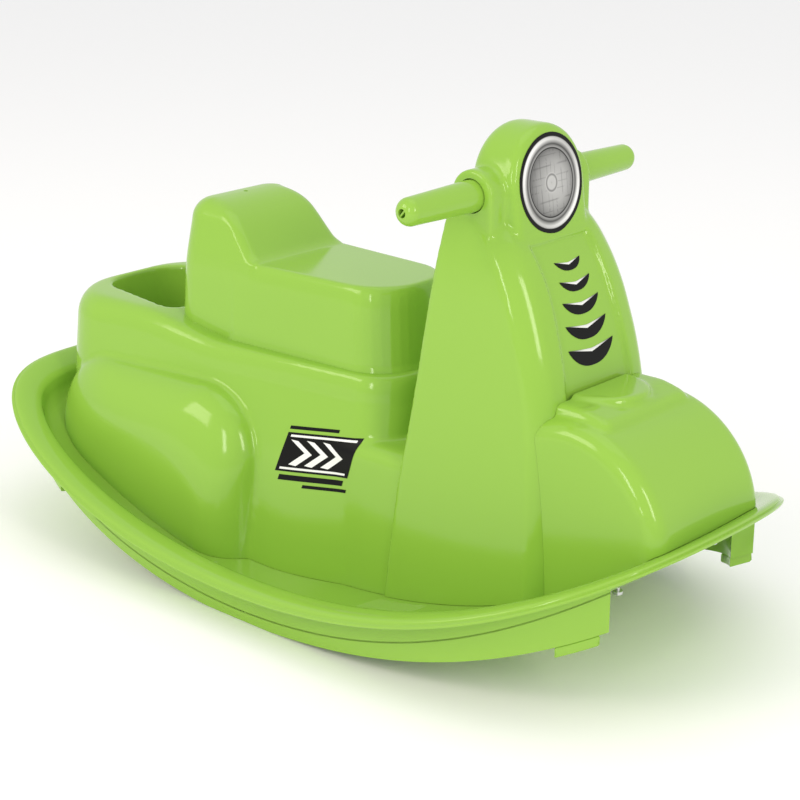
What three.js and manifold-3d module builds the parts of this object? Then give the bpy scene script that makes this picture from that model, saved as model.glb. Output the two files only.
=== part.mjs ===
// A child's rocking scooter: a boat-shaped rocker base with a rolled rim and two runners, a seat body with
// side pods and a rear bucket, a seat with a backrest, a leg shield with a headlight, and a mudguard.
// Lengths are millimetres. X points to the front, Y to the rider's left and Z up.
import * as THREE from "three";
import { mergeVertices } from "three/addons/utils/BufferGeometryUtils.js";
import Module from "manifold-3d";

const wasm = await Module();
wasm.setup();

// Moulding
const WALL = 3;
const GAP = 0.35;
const LIVE_EDGE = 0.02;

// Side view of the rocker base
const RUNNER_LOW_X = -12;
const RUNNER_FRONT_RADIUS = 844;
const RUNNER_REAR_RADIUS = 572;
const RUNNER_FLAT_RISE = 1;
const RIM_LOW_X = -2;
const RIM_FRONT_RADIUS = 752;
const RIM_REAR_RADIUS = 713;
const RIM_LOW_HEIGHT = 34;
const FLOOR_FRONT_RADIUS = 655;
const FLOOR_REAR_RADIUS = 590;
const FLOOR_LOW_HEIGHT = 11;

// Plan view of the rocker base
const BASE_LENGTH = 743;
const BASE_WIDTH = 392;
const BASE_WAIST_X = 1;
const BASE_REAR_LENGTH_POWER = 3.9;
const BASE_REAR_SIDE_POWER = 4.8;
const BASE_FRONT_LENGTH_POWER = 3.7;
const BASE_FRONT_SIDE_POWER = 2.4;

// Rolled rim
const BEAD_HEIGHT = 2.5;
const BEAD_STEP = 3;
const ROLL_WIDTH = 25;
const ROLL_HEIGHT = 4.5;
const ROLL_LIFT = 3.5;
const WALL_DRAFT = 1.5;
const FLOOR_FILLET = 7.5;
const FILLET_SHARE = 0.33;

// Runners and stop feet
const RUNNER_INSET = 21.5;
const RUNNER_WIDTH = 18;
const RUNNER_FRONT_SETBACK = 47.5;
const RUNNER_REAR_SETBACK = 71.5;
const RUNNER_FRONT_X = BASE_LENGTH / 2 - RUNNER_FRONT_SETBACK;
const RUNNER_REAR_X = RUNNER_REAR_SETBACK - BASE_LENGTH / 2;
const FOOT_LENGTH = 40;
const FOOT_SETBACK = 8;
const FOOT_DROP = 9;

// Mudguard
const GUARD_NOSE_SETBACK = 24;
const GUARD_RADIUS = 93;
const GUARD_CENTRE_X = BASE_LENGTH / 2 - GUARD_NOSE_SETBACK - GUARD_RADIUS;
const GUARD_CENTRE_HEIGHT = 118;
const GUARD_HALF = 73;
const GUARD_EDGE = 15;
const GUARD_REAR_REACH = 33.5;
const GUARD_REAR_X = GUARD_CENTRE_X - GUARD_REAR_REACH;
const GUARD_FOOT_HEIGHT = 40;
const PLATE_HALF = 57;
const PLATE_NOSE_REACH = 29.5;
const PLATE_FRONT_X = GUARD_CENTRE_X + PLATE_NOSE_REACH;
const PLATE_RISE = 8;
const PLATE_HEIGHT = GUARD_CENTRE_HEIGHT + GUARD_RADIUS + PLATE_RISE;
const PLATE_NOSE_DROP = 5;
const PLATE_ROUND = 8;
const PLATE_EDGE = 7;
const PLATE_SUNK = 20;
const PAD_HALF = 38;
const PAD_REACH = 47;
const PAD_LAP = 9;
const PAD_CENTRE_X = GUARD_REAR_X + PAD_LAP;
const PAD_RISE = 3.5;
const PAD_EDGE = 2.5;

// Leg shield: each level lies at its shares of the way from the foot to the top
const SHIELD_GUARD_LAP = 24;
const SHIELD_HEIGHT = 333;
const SHIELD_FOOT_DEPTH = 169;
const SHIELD_FOOT_HALF = 87;
const SHIELD_TOP_SETBACK = 54.5;
const SHIELD_TOP_DEPTH = 74;
const SHIELD_TOP_HALF = 67.5;
const SHIELD_FOOT_FRONT_X = GUARD_REAR_X + SHIELD_GUARD_LAP;
const SHIELD_TOP_FRONT_X = SHIELD_FOOT_FRONT_X - SHIELD_TOP_SETBACK;
const SHIELD_FOOT = {
  height: 0,
  rear: SHIELD_FOOT_FRONT_X - SHIELD_FOOT_DEPTH,
  front: SHIELD_FOOT_FRONT_X,
  half: SHIELD_FOOT_HALF,
};
const SHIELD_TOP = {
  height: SHIELD_HEIGHT,
  rear: SHIELD_TOP_FRONT_X - SHIELD_TOP_DEPTH,
  front: SHIELD_TOP_FRONT_X,
  half: SHIELD_TOP_HALF,
};
const SHIELD_LEVEL_SHARES = [
  { height: 0, rear: 0, front: 0, half: 0 },
  { height: 0.339, rear: 0.284, front: 0.037, half: 0.308 },
  { height: 0.52, rear: 0.531, front: 0.101, half: 0.487 },
  { height: 0.658, rear: 0.679, front: 0.211, half: 0.615 },
  { height: 0.742, rear: 0.765, front: 0.321, half: 0.667 },
  { height: 0.811, rear: 0.827, front: 0.45, half: 0.718 },
  { height: 0.871, rear: 0.889, front: 0.578, half: 0.769 },
  { height: 0.925, rear: 0.938, front: 0.725, half: 0.846 },
  { height: 0.97, rear: 0.975, front: 0.881, half: 0.923 },
  { height: 1, rear: 1, front: 1, half: 1 },
];
const SHIELD_TOP_EDGE = 10;
const SHIELD_FALL_SHARE = 0.75;
const SHIELD_FRONT_ROUND = 17;
const SHIELD_REAR_ROUND = 3;
const SHIELD_CROWN = 3;
const PANEL_DEPTH = 3;
const PANEL_LENGTH = 160;
const PANEL_TOP_HALF = 34;
const PANEL_FOOT_HALF = 45;
const PANEL_STEP = 3;

// Head with the headlight
const HEAD_RADIUS = 46;
const HEAD_CENTRE_RISE = 44;
const HEAD_CENTRE_HEIGHT = SHIELD_HEIGHT + HEAD_CENTRE_RISE;
const HEAD_SUNK = 11;
const HEAD_FOOT_HEIGHT = SHIELD_HEIGHT - HEAD_SUNK;
const HEAD_FACE_SETBACK = 9.5;
const HEAD_FACE_X = SHIELD_TOP_FRONT_X - HEAD_FACE_SETBACK;
const HEAD_DEPTH = 51.5;
const HEAD_REAR_X = HEAD_FACE_X - HEAD_DEPTH;
const HEAD_REAR_ROUND = 18;
const HEAD_FACE_ROUND = 4;
const FACE_TILT_DEGREES = 7;
const LIGHT_MARGIN = 6.3;
const LIGHT_RADIUS = HEAD_RADIUS - LIGHT_MARGIN;

// Handlebar and its collars
const BAR_SETBACK = 29;
const BAR_X = HEAD_FACE_X - BAR_SETBACK;
const BAR_DROP = 4.5;
const BAR_HEIGHT = HEAD_CENTRE_HEIGHT - BAR_DROP;
const BAR_HALF = 144;
const GRIP_ROOT_DEPTH = 12.5;
const BAR_ROOT_HALF = HEAD_RADIUS - GRIP_ROOT_DEPTH;
const GRIP_ROOT_RADIUS = 13;
const GRIP_TIP_RADIUS = 11.2;
const GRIP_END_ROUND = 9;
const GRIP_CLEARANCE = 0.8;
const GRIP_FLANGE = 2.5;
const GRIP_FLANGE_THICKNESS = 3;
const GRIP_END_HOLE_RADIUS = 3.6;
const GRIP_WEB = 1.3;
const TUBE_RADIUS = 7;
const TUBE_WALL = 1.5;
const TUBE_SETBACK = 32;
const TUBE_HALF = BAR_HALF - TUBE_SETBACK;
const COLLAR_RADIUS = 20.5;
const COLLAR_REACH = 16;
const COLLAR_OUTER_HALF = HEAD_RADIUS + COLLAR_REACH;
const COLLAR_LAP = 1.5;
const COLLAR_INNER_HALF = HEAD_RADIUS - COLLAR_LAP;
const COLLAR_SUNK = 2;
const COLLAR_FOOT_HEIGHT = SHIELD_HEIGHT - COLLAR_SUNK;
const COLLAR_EDGE = 2;

// Seat body: each level lies at its shares of the way from the foot to the top
const BODY_REAR_SETBACK = 27.5;
const BODY_SHIELD_GAP = 9;
const BODY_REAR_LEAN = 3.5;
const BODY_FRONT_LEAN = 19;
const BODY_REAR_X = BODY_REAR_SETBACK - BASE_LENGTH / 2;
const BODY_FRONT_X = SHIELD_FOOT.rear - BODY_SHIELD_GAP;
const BODY_FOOT_REAR_HALF = 112;
const BODY_FOOT_HIP_HALF = 103;
const BODY_FOOT_FRONT_HALF = 84;
const BODY_TOP_REAR_HALF = 91;
const BODY_TOP_HIP_HALF = 65;
const BODY_TOP_FRONT_HALF = 55;
const BODY_HIP_SETBACK = 122;
const BODY_HIP_X = BODY_FRONT_X - BODY_HIP_SETBACK;
const BODY_REAR_ROUND = 52;
const BODY_FRONT_ROUND = 36;
const BODY_FRONT_BOW = 5;
const DECK_REAR_HEIGHT = 213;
const DECK_FRONT_HEIGHT = 198;
const SHOULDER_HEIGHT = 9;
const SHOULDER_SIDE = 8;
const SHOULDER_REAR_SIDE = 19;
const BODY_FOOT = {
  height: 0,
  rear: BODY_REAR_X,
  front: BODY_FRONT_X,
  rearHalf: BODY_FOOT_REAR_HALF,
  hipHalf: BODY_FOOT_HIP_HALF,
  frontHalf: BODY_FOOT_FRONT_HALF,
};
const BODY_TOP = {
  height: DECK_FRONT_HEIGHT - SHOULDER_HEIGHT,
  rear: BODY_REAR_X + BODY_REAR_LEAN,
  front: BODY_FRONT_X - BODY_FRONT_LEAN,
  rearHalf: BODY_TOP_REAR_HALF,
  hipHalf: BODY_TOP_HIP_HALF,
  frontHalf: BODY_TOP_FRONT_HALF,
};
const BODY_LEVEL_SHARES = [
  { height: 0, rear: 0, front: 0, rearHalf: 0, hipHalf: 0, frontHalf: 0 },
  { height: 0.317, rear: 0.29, front: 0.16, rearHalf: 0.29, hipHalf: 0.21, frontHalf: 0.14 },
  { height: 0.582, rear: 0.57, front: 0.37, rearHalf: 0.52, hipHalf: 0.42, frontHalf: 0.28 },
  { height: 0.762, rear: 0.71, front: 0.53, rearHalf: 0.69, hipHalf: 0.63, frontHalf: 0.52 },
  { height: 0.9, rear: 0.86, front: 0.79, rearHalf: 0.86, hipHalf: 0.83, frontHalf: 0.79 },
  { height: 1, rear: 1, front: 1, rearHalf: 1, hipHalf: 1, frontHalf: 1 },
];
const SLOPE_START_SHARE = 0.582;

// Side pods of the seat body
const POD_REAR_SETBACK = 19;
const POD_REAR_X = BODY_REAR_X + POD_REAR_SETBACK;
const POD_FRONT_SETBACK = 117;
const POD_FRONT_X = BODY_FRONT_X - POD_FRONT_SETBACK;
const POD_TOP_DROP = 35;
const POD_TOP_HEIGHT = DECK_FRONT_HEIGHT - POD_TOP_DROP;
const POD_ROUND = 48;
const POD_ROOT_HALF = 60;
const POD_CREASE_HALF = 88;
const POD_HALF = 126;
const POD_FOOT_FLARE = 5;
const POD_TOP_CROWN = 55;
const POD_FRONT_CROWN = 22;
const POD_REAR_CROWN = 45;

// Seat and backrest
const SEAT_REAR_SETBACK = 137.5;
const SEAT_REAR_X = BODY_REAR_X + SEAT_REAR_SETBACK;
const SEAT_FRONT_X = BODY_TOP.front;
const SEAT_RISE = 73;
const SEAT_TOP_HEIGHT = DECK_FRONT_HEIGHT + SEAT_RISE;
const SEAT_EDGE = 8;
const SEAT_SUNK = 5;
const SEAT_FOOT_REAR_HALF = 60;
const SEAT_FOOT_FRONT_HALF = 50;
const SEAT_TOP_REAR_HALF = 56;
const SEAT_TOP_FRONT_HALF = 46;
const SEAT_FRONT_DRAFT = 4;
const SEAT_FRONT_ROUND = 40;
const SEAT_FRONT_BOW = 4;
const BACK_RISE = 47;
const BACK_TOP_HEIGHT = SEAT_TOP_HEIGHT + BACK_RISE;
const BACK_REAR_LEAN = 12;
const BACK_FOOT_DEPTH = 105.5;
const BACK_TOP_DEPTH = 59.5;
const BACK_SIDE_STEP = 0.6;
const BACK_ROUND = 24;
const BACK_EDGE = 16;

// Slope of the deck beside the seat's rear end
const SLOPE_SETBACK = 31.5;
const SLOPE_LENGTH = 114;
const DECK_SLOPE_REAR_X = SEAT_REAR_X - SLOPE_SETBACK;
const DECK_SLOPE_FRONT_X = DECK_SLOPE_REAR_X + SLOPE_LENGTH;

// Rear bucket
const BUCKET_REAR_WALL = 14;
const BUCKET_REAR_X = BODY_REAR_X + BUCKET_REAR_WALL;
const BUCKET_SEAT_GAP = 2.5;
const BUCKET_FRONT_X = SEAT_REAR_X - BUCKET_SEAT_GAP;
const BUCKET_FRONT_HALF = 62;
const BUCKET_REAR_HALF = 52;
const BUCKET_ROUND = 38;
const BUCKET_DEPTH = 102;
const BUCKET_BOTTOM_HEIGHT = DECK_REAR_HEIGHT - BUCKET_DEPTH;
const BUCKET_DRAFT = 7;

// Step-through tunnel at the front of the seat body
const TUNNEL_REAR_LAP = 81;
const TUNNEL_REAR_X = BODY_FRONT_X - TUNNEL_REAR_LAP;
const TUNNEL_LAP = 40;
const TUNNEL_HEIGHT = 144;
const TUNNEL_EDGE = 15;
const TUNNEL_DRAFT = 7;
const TUNNEL_TOP_HALF = BODY_FOOT_FRONT_HALF - TUNNEL_DRAFT;

// Stickers
const STICKER = 0.4;
const STICKER_GAP = 0.3;
const VENT_COUNT = 5;
const VENT_TOP_DROP = 20;
const VENT_PITCH = 16.6;
const VENT_TOP_HALF = 14;
const VENT_GROWTH = 3;
const VENT_DEPTH_SHARE = 0.62;
const VENT_NOTCH_SHARE = 0.2;
const VENT_BELLY_SHARE = 0.5;
const VENT_FLAT_SHARE = 0.25;
const BADGE_SETBACK = 115;
const BADGE_REAR_X = BODY_FRONT_X - BADGE_SETBACK;
const BADGE_LENGTH = 88;
const BADGE_FOOT_HEIGHT = 90;
const BADGE_HEIGHT = 62;
const BADGE_SLANT = 8;

// Screws
const SCREW_HEAD_RADIUS = 4.2;
const SCREW_HEAD_HEIGHT = 2.4;
const SCREW_SHANK_RADIUS = 1.8;
const SCREW_LENGTH = 17;
const PAD_RADIUS = 6.5;
const SCREW_HOLE_RADIUS = 2.3;
const BOSS_RADIUS = 5.5;
const BOSS_HOLE_RADIUS = 2.15;
const BOSS_LIFT = 30;
const BODY_REAR_SCREW_SETBACK = 44;
const BODY_REAR_SCREW_HALF = 62;
const BODY_FRONT_SCREW_SETBACK = 97;
const SHIELD_SCREW_SETBACK = 54;
const SHIELD_SCREW_INSET = 8;
const GUARD_SCREW_REACH = 51.5;
const GUARD_SCREW_INSET = 7;
const SEAT_REAR_SCREW_SETBACK = 96.5;
const SEAT_FRONT_SCREW_SETBACK = 56;
const BODY_SCREW_PLACES = [
  { x: BODY_REAR_X + BODY_REAR_SCREW_SETBACK, y: BODY_REAR_SCREW_HALF },
  { x: BODY_FRONT_X - BODY_FRONT_SCREW_SETBACK, y: BODY_FOOT_FRONT_HALF },
];
const SHIELD_SCREW_PLACE = {
  x: SHIELD_FOOT.rear + SHIELD_SCREW_SETBACK,
  y: SHIELD_FOOT_HALF - SHIELD_SCREW_INSET,
};
const GUARD_SCREW_PLACE = { x: GUARD_CENTRE_X + GUARD_SCREW_REACH, y: GUARD_HALF - GUARD_SCREW_INSET };
const SEAT_SCREW_PLACES = [SEAT_REAR_X + SEAT_REAR_SCREW_SETBACK, SEAT_FRONT_X - SEAT_FRONT_SCREW_SETBACK];

// Fineness
const OUTLINE_DIVISIONS = 800;
const BASE_POINTS = 72;
const SIDE_STEPS = 8;
const ROLL_STEPS = 4;
const EDGE_STEPS = 3;
const ROUND_POINTS = 16;
const SCREW_POINTS = 10;
const HEAD_POINTS = 36;
const SEARCH_STEPS = 40;

// Finishes, by colour, roughness and metalness
const FINISHES = {
  green: { color: 0x8cc83f, roughness: 0.16, metalness: 0 },
  black: { color: 0x111111, roughness: 0.35, metalness: 0 },
  silver: { color: 0xb9bcbd, roughness: 0.25, metalness: 0.3 },
  steel: { color: 0x9a9da0, roughness: 0.35, metalness: 1 },
};

// A closed geometry as a solid, turned to face out.
function solidOf(geometry) {
  const plain = geometry.index ? geometry.toNonIndexed() : geometry.clone();
  plain.deleteAttribute("normal");
  plain.deleteAttribute("uv");
  const merged = mergeVertices(plain);
  const triVerts = new Uint32Array(merged.index.array);
  const vertProperties = new Float32Array(merged.attributes.position.array);
  const made = new wasm.Manifold(new wasm.Mesh({ numProp: 3, vertProperties, triVerts }));
  if (made.volume() > 0) return made;
  for (let corner = 0; corner < triVerts.length; corner += 3) {
    [triVerts[corner + 1], triVerts[corner + 2]] = [triVerts[corner + 2], triVerts[corner + 1]];
  }
  return new wasm.Manifold(new wasm.Mesh({ numProp: 3, vertProperties, triVerts }));
}

// A solid as a named mesh.
function meshOf(name, solid, finish) {
  const made = solid.getMesh();
  const geometry = new THREE.BufferGeometry();
  geometry.setAttribute("position", new THREE.BufferAttribute(new Float32Array(made.vertProperties), 3));
  geometry.setIndex(new THREE.BufferAttribute(new Uint32Array(made.triVerts), 1));
  geometry.computeVertexNormals();
  const mesh = new THREE.Mesh(geometry, new THREE.MeshStandardMaterial(FINISHES[finish]));
  mesh.name = name;
  return mesh;
}

// A solid through a row of rings of equal length. Each end is closed by strips between mirrored points.
function loft(rings) {
  const count = rings[0].length;
  const points = rings.flat();
  const faces = [];
  const addQuad = (a, b, c, d) => {
    faces.push(a, b, c);
    faces.push(a, c, d);
  };
  for (let row = 0; row + 1 < rings.length; row++) {
    for (let i = 0; i < count; i++) {
      const next = (i + 1) % count;
      addQuad(row * count + i, row * count + next, (row + 1) * count + next, (row + 1) * count + i);
    }
  }
  const addEnd = (first, flip) => {
    for (let i = 0; i < count / 2; i++) {
      const corners = [i, i + 1, count - i - 1, (count - i) % count].map((corner) => first + corner);
      const distinct = corners.filter((corner, at) => corners.indexOf(corner) === at);
      if (flip) distinct.reverse();
      for (let at = 1; at + 1 < distinct.length; at++) {
        faces.push(distinct[0], distinct[at], distinct[at + 1]);
      }
    }
  };
  addEnd(0, true);
  addEnd((rings.length - 1) * count, false);
  const geometry = new THREE.BufferGeometry().setFromPoints(points);
  geometry.setIndex(faces);
  return solidOf(geometry);
}

// A cylinder along Z that stands on a point.
function post(radius, height, foot, points = ROUND_POINTS) {
  const geometry = new THREE.CylinderGeometry(radius, radius, height, points);
  geometry.rotateX(Math.PI / 2);
  return solidOf(geometry.translate(foot.x, foot.y, foot.z + height / 2));
}

// A smooth step from 0 at the first value to 1 at the second.
function ease(value, start, end) {
  return THREE.MathUtils.smoothstep(value, start, end);
}

// The signed power that shapes the blunt ovals below.
function bluntPower(value, power) {
  return Math.sign(value) * Math.abs(value) ** (2 / power);
}

// How far a side-view arc has risen at a place along X.
function arcRise(x, lowX, frontRadius, rearRadius) {
  const radius = x > lowX ? frontRadius : rearRadius;
  return radius - Math.sqrt(radius ** 2 - (x - lowX) ** 2);
}

function runnerHeight(x) {
  return Math.max(0, arcRise(x, RUNNER_LOW_X, RUNNER_FRONT_RADIUS, RUNNER_REAR_RADIUS) - RUNNER_FLAT_RISE);
}

function floorHeight(x) {
  return FLOOR_LOW_HEIGHT + arcRise(x, RUNNER_LOW_X, FLOOR_FRONT_RADIUS, FLOOR_REAR_RADIUS);
}

function rimHeight(x) {
  return RIM_LOW_HEIGHT + arcRise(x, RIM_LOW_X, RIM_FRONT_RADIUS, RIM_REAR_RADIUS);
}

// The plan outline of the rocker base, from its front tip round by its left side.
class BaseOutline extends THREE.Curve {
  getPoint(turnShare) {
    const across = Math.sin(2 * Math.PI * turnShare);
    const along = Math.cos(2 * Math.PI * turnShare);
    const half = BASE_WIDTH / 2;
    if (along < 0) {
      const reach = BASE_LENGTH / 2 + BASE_WAIST_X;
      return new THREE.Vector3(
        BASE_WAIST_X + reach * bluntPower(along, BASE_REAR_LENGTH_POWER),
        half * bluntPower(across, BASE_REAR_SIDE_POWER),
        0,
      );
    }
    const reach = BASE_LENGTH / 2 - BASE_WAIST_X;
    return new THREE.Vector3(
      BASE_WAIST_X + reach * bluntPower(along, BASE_FRONT_LENGTH_POWER),
      half * bluntPower(across, BASE_FRONT_SIDE_POWER),
      0,
    );
  }
}

const baseOutline = new BaseOutline();
baseOutline.arcLengthDivisions = OUTLINE_DIVISIONS;

// Even stations round the outline, each with its point and its inward direction.
const baseStations = Array.from({ length: BASE_POINTS }, (_, i) => {
  const along = baseOutline.getTangentAt(i / BASE_POINTS);
  return { point: baseOutline.getPointAt(i / BASE_POINTS), inward: new THREE.Vector3(-along.y, along.x, 0) };
});

// The point a distance inside the outline, on the straight run between two stations.
function insetPoint(share, inset) {
  const index = Math.floor(share * BASE_POINTS);
  const [from, to] = [index, index + 1].map((at) => {
    const station = baseStations[at % BASE_POINTS];
    return station.point.clone().addScaledVector(station.inward, inset);
  });
  return from.lerp(to, share * BASE_POINTS - index);
}

// One ring round the base at an inset and a height above a side-view curve.
function baseRing(inset, heightOf, rise) {
  return Array.from({ length: BASE_POINTS }, (_, i) => {
    const point = insetPoint(i / BASE_POINTS, inset);
    return point.setZ(heightOf(point.x) + rise);
  });
}

// The share of the left half of the outline at which the outer wall of a runner passes a place along X.
function runnerShare(x) {
  let front = 0;
  let rear = 0.5;
  for (let step = 0; step < SEARCH_STEPS; step++) {
    const middle = (front + rear) / 2;
    if (insetPoint(middle, RUNNER_INSET).x > x) front = middle;
    else rear = middle;
  }
  return front;
}

// A band along one side of the base between two shares of its outline. Each corner of its section has an
// inset and a height above a side-view curve.
function sideBand(side, startShare, endShare, corners) {
  const first = Math.ceil(startShare * BASE_POINTS + LIVE_EDGE);
  const last = Math.floor(endShare * BASE_POINTS - LIVE_EDGE);
  const between = Array.from({ length: last - first + 1 }, (_, i) => (first + i) / BASE_POINTS);
  const rings = [startShare, ...between, endShare].map((share) =>
    corners.map(({ inset, heightOf, rise }) => {
      const point = insetPoint(share, inset);
      return new THREE.Vector3(point.x, side * point.y, heightOf(point.x) + rise);
    }),
  );
  return loft(rings);
}

// The four corners of a band between two insets.
function bandCorners(outer, inner, low, high) {
  return [
    { inset: outer, ...low },
    { inset: inner, ...low },
    { inset: inner, ...high },
    { inset: outer, ...high },
  ];
}

// The levels of a shell between its foot and its top. Each has its own share of the way for every size.
function levelsBetween(foot, top, levelShares) {
  return levelShares.map((shares) => {
    const level = {};
    for (const name of Object.keys(shares)) {
      level[name] = THREE.MathUtils.lerp(foot[name], top[name], shares[name]);
    }
    return level;
  });
}

// A ring in plan with a round corner at each end of its two sides. It can widen at a hip, and its front can
// bow out.
function blockRing(plan, heightAt) {
  const { rear, front, rearHalf, frontHalf, rearRound, frontRound } = plan;
  const hipX = plan.hipX ?? (rear + front) / 2;
  const hipHalf = plan.hipHalf ?? (rearHalf + frontHalf) / 2;
  const bow = plan.bow ?? 0;
  const sideSteps = plan.sideSteps ?? 1;
  const left = [[front + bow, 0], [front + bow, (frontHalf - frontRound) / 2]];
  for (let i = 0; i <= EDGE_STEPS; i++) {
    const angle = (Math.PI / 2) * (i / EDGE_STEPS);
    left.push([
      front - frontRound * (1 - Math.cos(angle)) + bow * (1 - i / EDGE_STEPS) / 2,
      frontHalf - frontRound * (1 - Math.sin(angle)),
    ]);
  }
  const sideEnds = [[front - frontRound, frontHalf], [hipX, hipHalf], [rear + rearRound, rearHalf]];
  for (let run = 0; run < 2; run++) {
    const [[startX, startHalf], [endX, endHalf]] = [sideEnds[run], sideEnds[run + 1]];
    for (let i = 1; i <= sideSteps; i++) {
      const share = i / sideSteps;
      left.push([THREE.MathUtils.lerp(startX, endX, share), THREE.MathUtils.lerp(startHalf, endHalf, share)]);
    }
  }
  for (let i = 1; i <= EDGE_STEPS; i++) {
    const angle = (Math.PI / 2) * (i / EDGE_STEPS);
    left.push([rear + rearRound * (1 - Math.sin(angle)), rearHalf - rearRound * (1 - Math.cos(angle))]);
  }
  left.push([rear, 0]);
  const points = left.map(([x, y]) => new THREE.Vector3(x, y, heightAt(x)));
  const right = points.slice(1, -1).map((point) => new THREE.Vector3(point.x, -point.y, point.z));
  return [...points, ...right.reverse()];
}

// Steps of a quarter-round edge: how far in and how far up it is at each step, as shares of the radius.
function edgeSteps(steps = EDGE_STEPS) {
  return Array.from({ length: steps }, (_, i) => {
    const angle = (Math.PI / 2) * ((i + 1) / steps);
    return { inShare: 1 - Math.cos(angle), upShare: Math.sin(angle) };
  });
}

function joined(solids) {
  return solids.reduce((sum, solid) => sum.add(solid));
}

function bothSides(make) {
  return joined([make(1), make(-1)]);
}

// Screws and the bosses that they hold

// The level of the flat pad that a floor screw bears on, under the sloping floor.
function padHeight(place) {
  const lowest = Math.min(floorHeight(place.x - PAD_RADIUS), floorHeight(place.x + PAD_RADIUS));
  return lowest - WALL - GAP;
}

function floorPad(place) {
  const foot = new THREE.Vector3(place.x, place.y, padHeight(place));
  return post(PAD_RADIUS, floorHeight(place.x) - padHeight(place), foot, SCREW_POINTS);
}

function screwHead(place) {
  return new THREE.Vector3(place.x, place.y, padHeight(place) - GAP - SCREW_HEAD_HEIGHT);
}

function screw(head) {
  const cap = post(SCREW_HEAD_RADIUS, SCREW_HEAD_HEIGHT, head, SCREW_POINTS);
  return cap.add(post(SCREW_SHANK_RADIUS, SCREW_LENGTH, head, SCREW_POINTS));
}

function screwHole(head) {
  return post(SCREW_HOLE_RADIUS, SCREW_LENGTH, head, SCREW_POINTS);
}

// A boss that stands on the floor round a screw and reaches into its shell, and its blind hole.
function boss(place, lift) {
  const foot = new THREE.Vector3(place.x, place.y, floorHeight(place.x) - WALL);
  return post(BOSS_RADIUS, lift, foot, SCREW_POINTS);
}

function bossHole(head) {
  return post(BOSS_HOLE_RADIUS, SCREW_LENGTH + WALL, head, SCREW_POINTS);
}

function mirroredPlaces(place) {
  return [place, { x: place.x, y: -place.y }];
}

// Rocker base

// The rolled rim as rings from one inset to another.
function rollRings(start, end, lift, height) {
  return Array.from({ length: ROLL_STEPS + 1 }, (_, i) => {
    const angle = (Math.PI * i) / ROLL_STEPS;
    const inset = (start + end) / 2 - ((end - start) / 2) * Math.cos(angle);
    return baseRing(inset, rimHeight, lift + height * Math.sin(angle));
  });
}

// The upper face of the pan, from the bead over the rolled rim and down to the floor.
function panRings(rise) {
  const rollEnd = BEAD_STEP + ROLL_WIDTH;
  const corner = FLOOR_FILLET * FILLET_SHARE;
  return [
    baseRing(0, rimHeight, rise),
    baseRing(0, rimHeight, BEAD_HEIGHT + rise),
    ...rollRings(BEAD_STEP, rollEnd, ROLL_LIFT + rise, ROLL_HEIGHT),
    baseRing(rollEnd + WALL_DRAFT, floorHeight, FLOOR_FILLET + rise),
    baseRing(rollEnd + WALL_DRAFT + corner, floorHeight, corner + rise),
    baseRing(rollEnd + WALL_DRAFT + FLOOR_FILLET, floorHeight, rise),
  ];
}

// Everything below the upper face of the pan when that face is raised.
function baseBelow(rise) {
  return loft([baseRing(0, () => -BASE_WIDTH, 0), ...panRings(rise)]);
}

// The pan as one skin.
function basePan() {
  const rollEnd = BEAD_STEP + ROLL_WIDTH;
  const under = [
    ...rollRings(BEAD_STEP + WALL, rollEnd - WALL, ROLL_LIFT - WALL / 2, ROLL_HEIGHT - WALL / 2),
    baseRing(rollEnd + WALL_DRAFT - WALL, floorHeight, FLOOR_FILLET * FILLET_SHARE),
    baseRing(rollEnd + WALL_DRAFT + FLOOR_FILLET, floorHeight, -WALL),
  ];
  return loft([...panRings(0).reverse(), ...under]);
}

// A runner: an inverted channel that follows the outline under the floor. Its outer wall goes up into the
// roll.
function runner(side) {
  const start = runnerShare(RUNNER_FRONT_X);
  const end = runnerShare(RUNNER_REAR_X);
  const outer = RUNNER_INSET;
  const inner = RUNNER_INSET + RUNNER_WIDTH;
  const wallShare = WALL / baseOutline.getLength();
  const foot = { heightOf: runnerHeight, rise: 0 };
  const blockTop = { heightOf: floorHeight, rise: -WALL / 2 };
  const block = sideBand(side, start, end, bandCorners(outer, inner, foot, blockTop));
  const belowFoot = { heightOf: runnerHeight, rise: -WALL };
  const hollowTop = { heightOf: floorHeight, rise: -WALL - GAP };
  const hollowCorners = bandCorners(outer + WALL, inner - WALL, belowFoot, hollowTop);
  const hollow = sideBand(side, start + wallShare, end - wallShare, hollowCorners);
  const skirtCorners = bandCorners(
    outer,
    outer + WALL,
    { heightOf: floorHeight, rise: -WALL },
    { heightOf: rimHeight, rise: ROLL_LIFT + ROLL_HEIGHT / 2 },
  );
  return block.subtract(hollow).add(sideBand(side, start, end, skirtCorners));
}

function floorScrewPlaces() {
  return [...BODY_SCREW_PLACES, SHIELD_SCREW_PLACE, GUARD_SCREW_PLACE].flatMap(mirroredPlaces);
}

function rockerBase() {
  const whole = joined([basePan(), bothSides(runner)]);
  const pads = joined(floorScrewPlaces().map(floorPad)).intersect(baseBelow(-WALL / 2));
  return whole.add(pads).subtract(joined(floorScrewPlaces().map((place) => screwHole(screwHead(place)))));
}

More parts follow.
